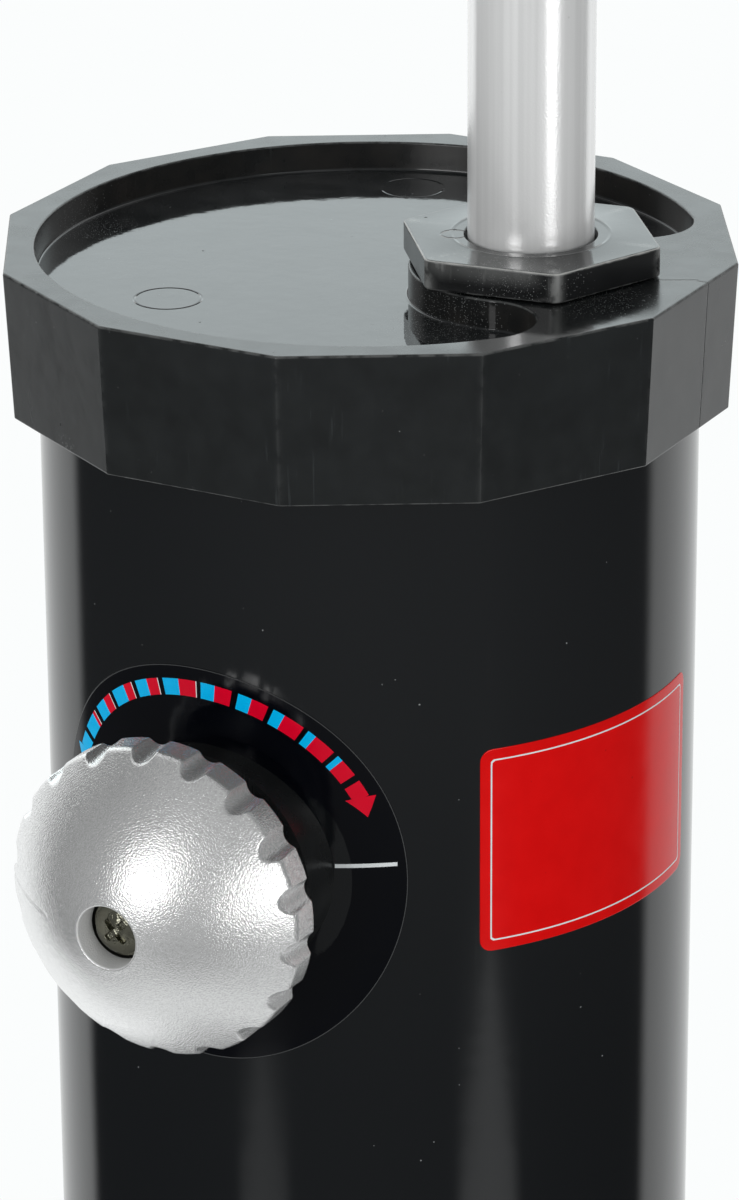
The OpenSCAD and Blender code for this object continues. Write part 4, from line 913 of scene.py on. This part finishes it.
def ribbed(a, core, height, ribs):
    """Radius of a round bar with soft grip ribs: a raised power of the cosine of the rib angle."""
    return core + height * np.clip(0.5 + 0.5 * np.cos(a * ribs), 0, 1) ** 3


def head_section():
    """Section of the bowl: neck, shoulder, a dome that is part of a sphere, rim, inside and socket."""
    neck = rounded([(HEAD_NECK_R, HEAD_MOUTH), (HEAD_NECK_R, -10.4), (18.0, -10.4), (18.0, -13.6), (22.0, -14.9)],
                   [0, 0.1, 0.4, 0.9, 0], 4)
    r = np.linspace(22.0, 73.2, 28)
    dome = np.stack([r, DOME_TOP - DOME_R + np.sqrt(DOME_R ** 2 - r ** 2)], -1)
    rim = rounded([dome[-1], (HEAD_R, -33.6), (HEAD_R, HEAD_FACE), (72.0, HEAD_FACE), (72.0, -38.0), (40.0, -32.0),
                   (5.0, -20.0)], [0, 1.6, 0.8, 0.4, 0.5, 0.5, 0], 5)
    socket = [(5.0, -12.2), (13.1, -1.0), (13.1, HEAD_MOUTH), (HEAD_NECK_R, HEAD_MOUTH)]
    return np.concatenate([neck, dome[1:], rim[1:], socket])


def collar_grid():
    """Nut over the ball: ribbed outside, a lip with a sloping mouth, and the hollow that covers the ball."""
    a = circle(480)
    wall = rounded([(16.0, COLLAR_FOOT), (COLLAR_R, COLLAR_FOOT), (COLLAR_R, COLLAR_TOP), (10.8, COLLAR_TOP)],
                   [0, 0.5, 1.2, 0], 5)[:-1]
    rows = [(ribbed(a, r, 0.6, 20) if r > 17.6 else r, h) for r, h in wall]
    rows += [(10.9, COLLAR_TOP), (10.7, COLLAR_TOP - 0.1), (8.9, 7.4), (10.6, 4.0), (COLLAR_BORE, 4.0),
             (COLLAR_BORE, COLLAR_FOOT), (16.0, COLLAR_FOOT)]
    return rings(rows, a)


def stud_section():
    """Section of the ball stud: a bore's mouth, most of a circle, then the neck, flange and plug."""
    turn = np.radians(np.linspace(-74, 63, 40))
    foot = [(STUD_BORE, STUD_FOOT)]
    stem = rounded([(STUD_NECK, 9.8), (STUD_NECK, 17.5), (RISER_R, 17.5), (RISER_R, 19.5), (STUD_PLUG, 19.5),
                    (STUD_PLUG, STUD_TOP), (STUD_BORE, STUD_TOP)], [0, 0.6, 0.3, 0.3, 0.1, 0.3, 0], 4)
    return np.concatenate([foot, np.stack([BALL_R * np.cos(turn), BALL_R * np.sin(turn)], -1), stem, foot])


piece("head_bowl", [(ball + revolve(head_section(), 256), True)],
      "shower_head", head_silver, ["head_shell"])
piece("head_collar", [(ball + collar_grid(), True)], "shower_head", head_silver, ["head_nut"])
piece("ball_stem", [(ball + revolve(stud_section(), 128), True)], "riser", head_silver, ["ball_stud"])


# Hose inlet on the back

NOSE_LONG, COLLAR_IN, GRIP_R, CONE_R, NOSE_R, TIP_NOSE_R, HOSE_BORE = 22.0, 13.3, 15.9, 11.5, 8.5, 6.3, 4.5


def adaptor_grid():
    """Hose adaptor: ribbed collar, cone, straight nose and stepped tip, with its bore."""
    a = circle(432)
    first, tip = low["inlet_adaptor"][1], high["inlet_adaptor"][1]
    last = tip - NOSE_LONG
    collar = rounded([(COLLAR_IN, first), (GRIP_R, first), (GRIP_R, last), (CONE_R, last)], [0, 0.5, 0.8, 0], 5)[:-1]
    rows = [(ribbed(a, r, 0.6, 18) if r > 15.0 else r, h) for r, h in collar]
    rows += [*rounded([(12.5, last), (CONE_R, last), (NOSE_R, last + 3), (NOSE_R, tip - 7), (TIP_NOSE_R, tip - 4.8),
                       (TIP_NOSE_R, tip), (HOSE_BORE, tip), (HOSE_BORE, last - 3), (COLLAR_IN, last - 3),
                       (COLLAR_IN, first)], [0, 0.3, 0.4, 0.4, 0.4, 0.5, 0.2, 0.1, 0.1, 0], 4)]
    return along_back(rings(rows, a), mid["inlet_adaptor"][2])


piece("hose_nose", [(adaptor_grid(), True)], "tank", fitting, ["inlet_adaptor"])


# Stage, light and camera

WHITE = (0.965, 0.982, 0.982, 1)
BACKDROP_WAY, ROOM_WAY = (-0.4073, 0.9133, 0.0), (0.4777, -0.8785, 0.0)
FLOOR_RINGS, FLOOR_COLUMNS, FLOOR_R, FLOOR_Z = 12, 96, 1.35, -0.0004


def make_floor():
    """Pale round floor that fades to white at its edge and keeps the shadow. Gloss sees it dimmer in front."""
    profile = np.stack([np.linspace(0, FLOOR_R, FLOOR_RINGS), np.full(FLOOR_RINGS, FLOOR_Z)], -1)
    mesh = bpy.data.meshes.new("floor")
    mesh.from_pydata(revolve(profile, FLOOR_COLUMNS).reshape(-1, 3), [],
                     quads(FLOOR_RINGS, FLOOR_COLUMNS, True)[:, ::-1].tolist())
    floor = place("floor", mesh)
    material = bpy.data.materials.new("Pale floor")
    material.use_nodes = True
    tree = material.node_tree
    tree.nodes.clear()
    at = add("ShaderNodeTexCoord", tree=tree).outputs["Object"]
    path = add("ShaderNodeLightPath", tree=tree).outputs
    camera, glossy = path["Is Camera Ray"], path["Is Glossy Ray"]
    seen = calc("ADD", camera, calc("ADD", glossy, path["Is Transmission Ray"]), clamp=True)
    length = vector("LENGTH", at)
    lie = calc("DIVIDE", vector("DOT_PRODUCT", at, BACKDROP_WAY), calc("ADD", length, 0.05))
    behind = between(lie, 0.1, 0.55)
    under = times_plus(between(length, 0.3, 1.3), -0.55, 0.55)
    bright = times_plus(calc("MAXIMUM", behind, under), 0.68, 0.32)
    pale = add("ShaderNodeBsdfDiffuse", {"Color": (0.86, 0.865, 0.865, 1)}, tree)
    white = add("ShaderNodeEmission", {"Color": WHITE, "Strength": calc("MAXIMUM", camera, bright)})
    far = times_plus(between(length, 0.15, 1.25), 0.45, 0.55)
    share = times(seen, calc("MAXIMUM", far, glossy))
    mix = add("ShaderNodeMixShader", {0: share, 1: pale.outputs[0], 2: white.outputs[0]})
    add("ShaderNodeOutputMaterial", {"Surface": mix.outputs[0]})
    mesh.materials.append(material)


def make_world():
    """White to the eye. Gloss sees a white backdrop over a third of the horizon, and in front of it a dim room
    with two glowing wedges low down. Everything else gets an even soft light."""
    world = bpy.data.worlds.new("Studio")
    scene.world = world
    world.use_nodes = True
    tree = world.node_tree
    tree.nodes.clear()
    way = add("ShaderNodeTexCoord", tree=tree).outputs["Generated"]
    up = split(way)[2]
    flat = calc("SQRT", calc("SUBTRACT", 1.0001, times(up, up)))

    def toward(course):
        """Cosine of the level angle between the view and a level direction."""
        return calc("DIVIDE", vector("DOT_PRODUCT", way, course), flat)

    def wedge(course, tip, foot, half):
        """A patch about a level direction that widens downwards, from its tip to a half width."""
        apart = calc("SQRT", times(calc("SUBTRACT", 1.00001, toward(course)), 2.0))
        apart = calc("DIVIDE", apart, ramp(up, tip, foot, 0.002, half))
        return one_less(between(apart, 0.75, 1.2))
    glow = times(wedge((0.9426, -0.3338, 0.0), -0.425, -0.468, 0.2), 0.75)
    glow = times_plus(wedge((-0.208, -0.978, 0.0), -0.441, -0.47, 0.17), 0.5, glow)
    low_down = between(times(up, -1.0), 0.38, 0.46)
    room = ramp(toward(ROOM_WAY), -0.5, 1.0, 0.08, 0.3)
    room = calc("ADD", glow, times(room, times_plus(low_down, -0.4, 1.0)))
    backdrop = between(toward(BACKDROP_WAY), 0.43, 0.55)
    gloss = times_plus(backdrop, calc("SUBTRACT", 0.96, room), room)
    path = add("ShaderNodeLightPath", tree=tree).outputs
    glossy = path["Is Glossy Ray"]
    seen = calc("ADD", path["Is Camera Ray"], path["Is Transmission Ray"], clamp=True)
    level = times_plus(glossy, gloss, seen)
    rest = one_less(calc("ADD", seen, glossy), clamp=True)
    soft = times_plus(vector("DOT_PRODUCT", way, (-0.75, -0.1, -0.65)), 0.38, 0.76)
    sky = add("ShaderNodeBackground", {"Color": WHITE, "Strength": times_plus(rest, soft, level)})
    add("ShaderNodeOutputWorld", {"Surface": sky.outputs[0]})


def softbox(name, spot, aim, width, height, level, colour=grey(1.0)):
    """Rectangular lamp that faces a point. Its power is level times pi times its area."""
    lamp = bpy.data.lights.new(name, "AREA")
    lamp.color = colour
    lamp.shape, lamp.size, lamp.size_y = "RECTANGLE", width, height
    lamp.energy = level * math.pi * width * height
    obj = place(name, lamp)
    obj.location = spot
    obj.rotation_euler = (Vector(aim) - Vector(spot)).to_track_quat("-Z", "Y").to_euler()
    obj.visible_camera = False


def make_camera():
    """Long lens at the photograph's place, turned by its small roll."""
    spot, aim, roll = Vector((0.57756, -1.06257, 1.51672)), Vector((-0.00027, -0.00015, 1.03755)), -0.0064
    ahead = (aim - spot).normalized()
    right = ahead.cross(Vector((0, 0, 1))).normalized()
    up = right.cross(ahead)
    right, up = (right + roll * up).normalized(), (up - roll * right).normalized()
    data = bpy.data.cameras.new("Camera")
    data.lens, data.sensor_width = 158.335, 36.0
    data.clip_start, data.clip_end = 0.05, 100.0
    camera = place("Camera", data)
    camera.matrix_world = Matrix.Translation(spot) @ Matrix((right, up, -ahead)).transposed().to_4x4()
    scene.camera = camera


make_floor()
make_world()
softbox("Front lamp", (0.0, -1.53, 1.5), (0, -0.1, 1.0), 0.55, 0.65, 4.5)
softbox("Side lamp", (1.36, -0.68, 1.1), (0, -0.1, 1.0), 0.45, 0.7, 4.3)
softbox("Back lamp", (-1.4, 2.57, 2.43), (0, 0, 1.13), 3.4, 1.7, 0.9, (0.83, 1.0, 1.03))
make_camera()
scene.view_settings.view_transform = "Standard"
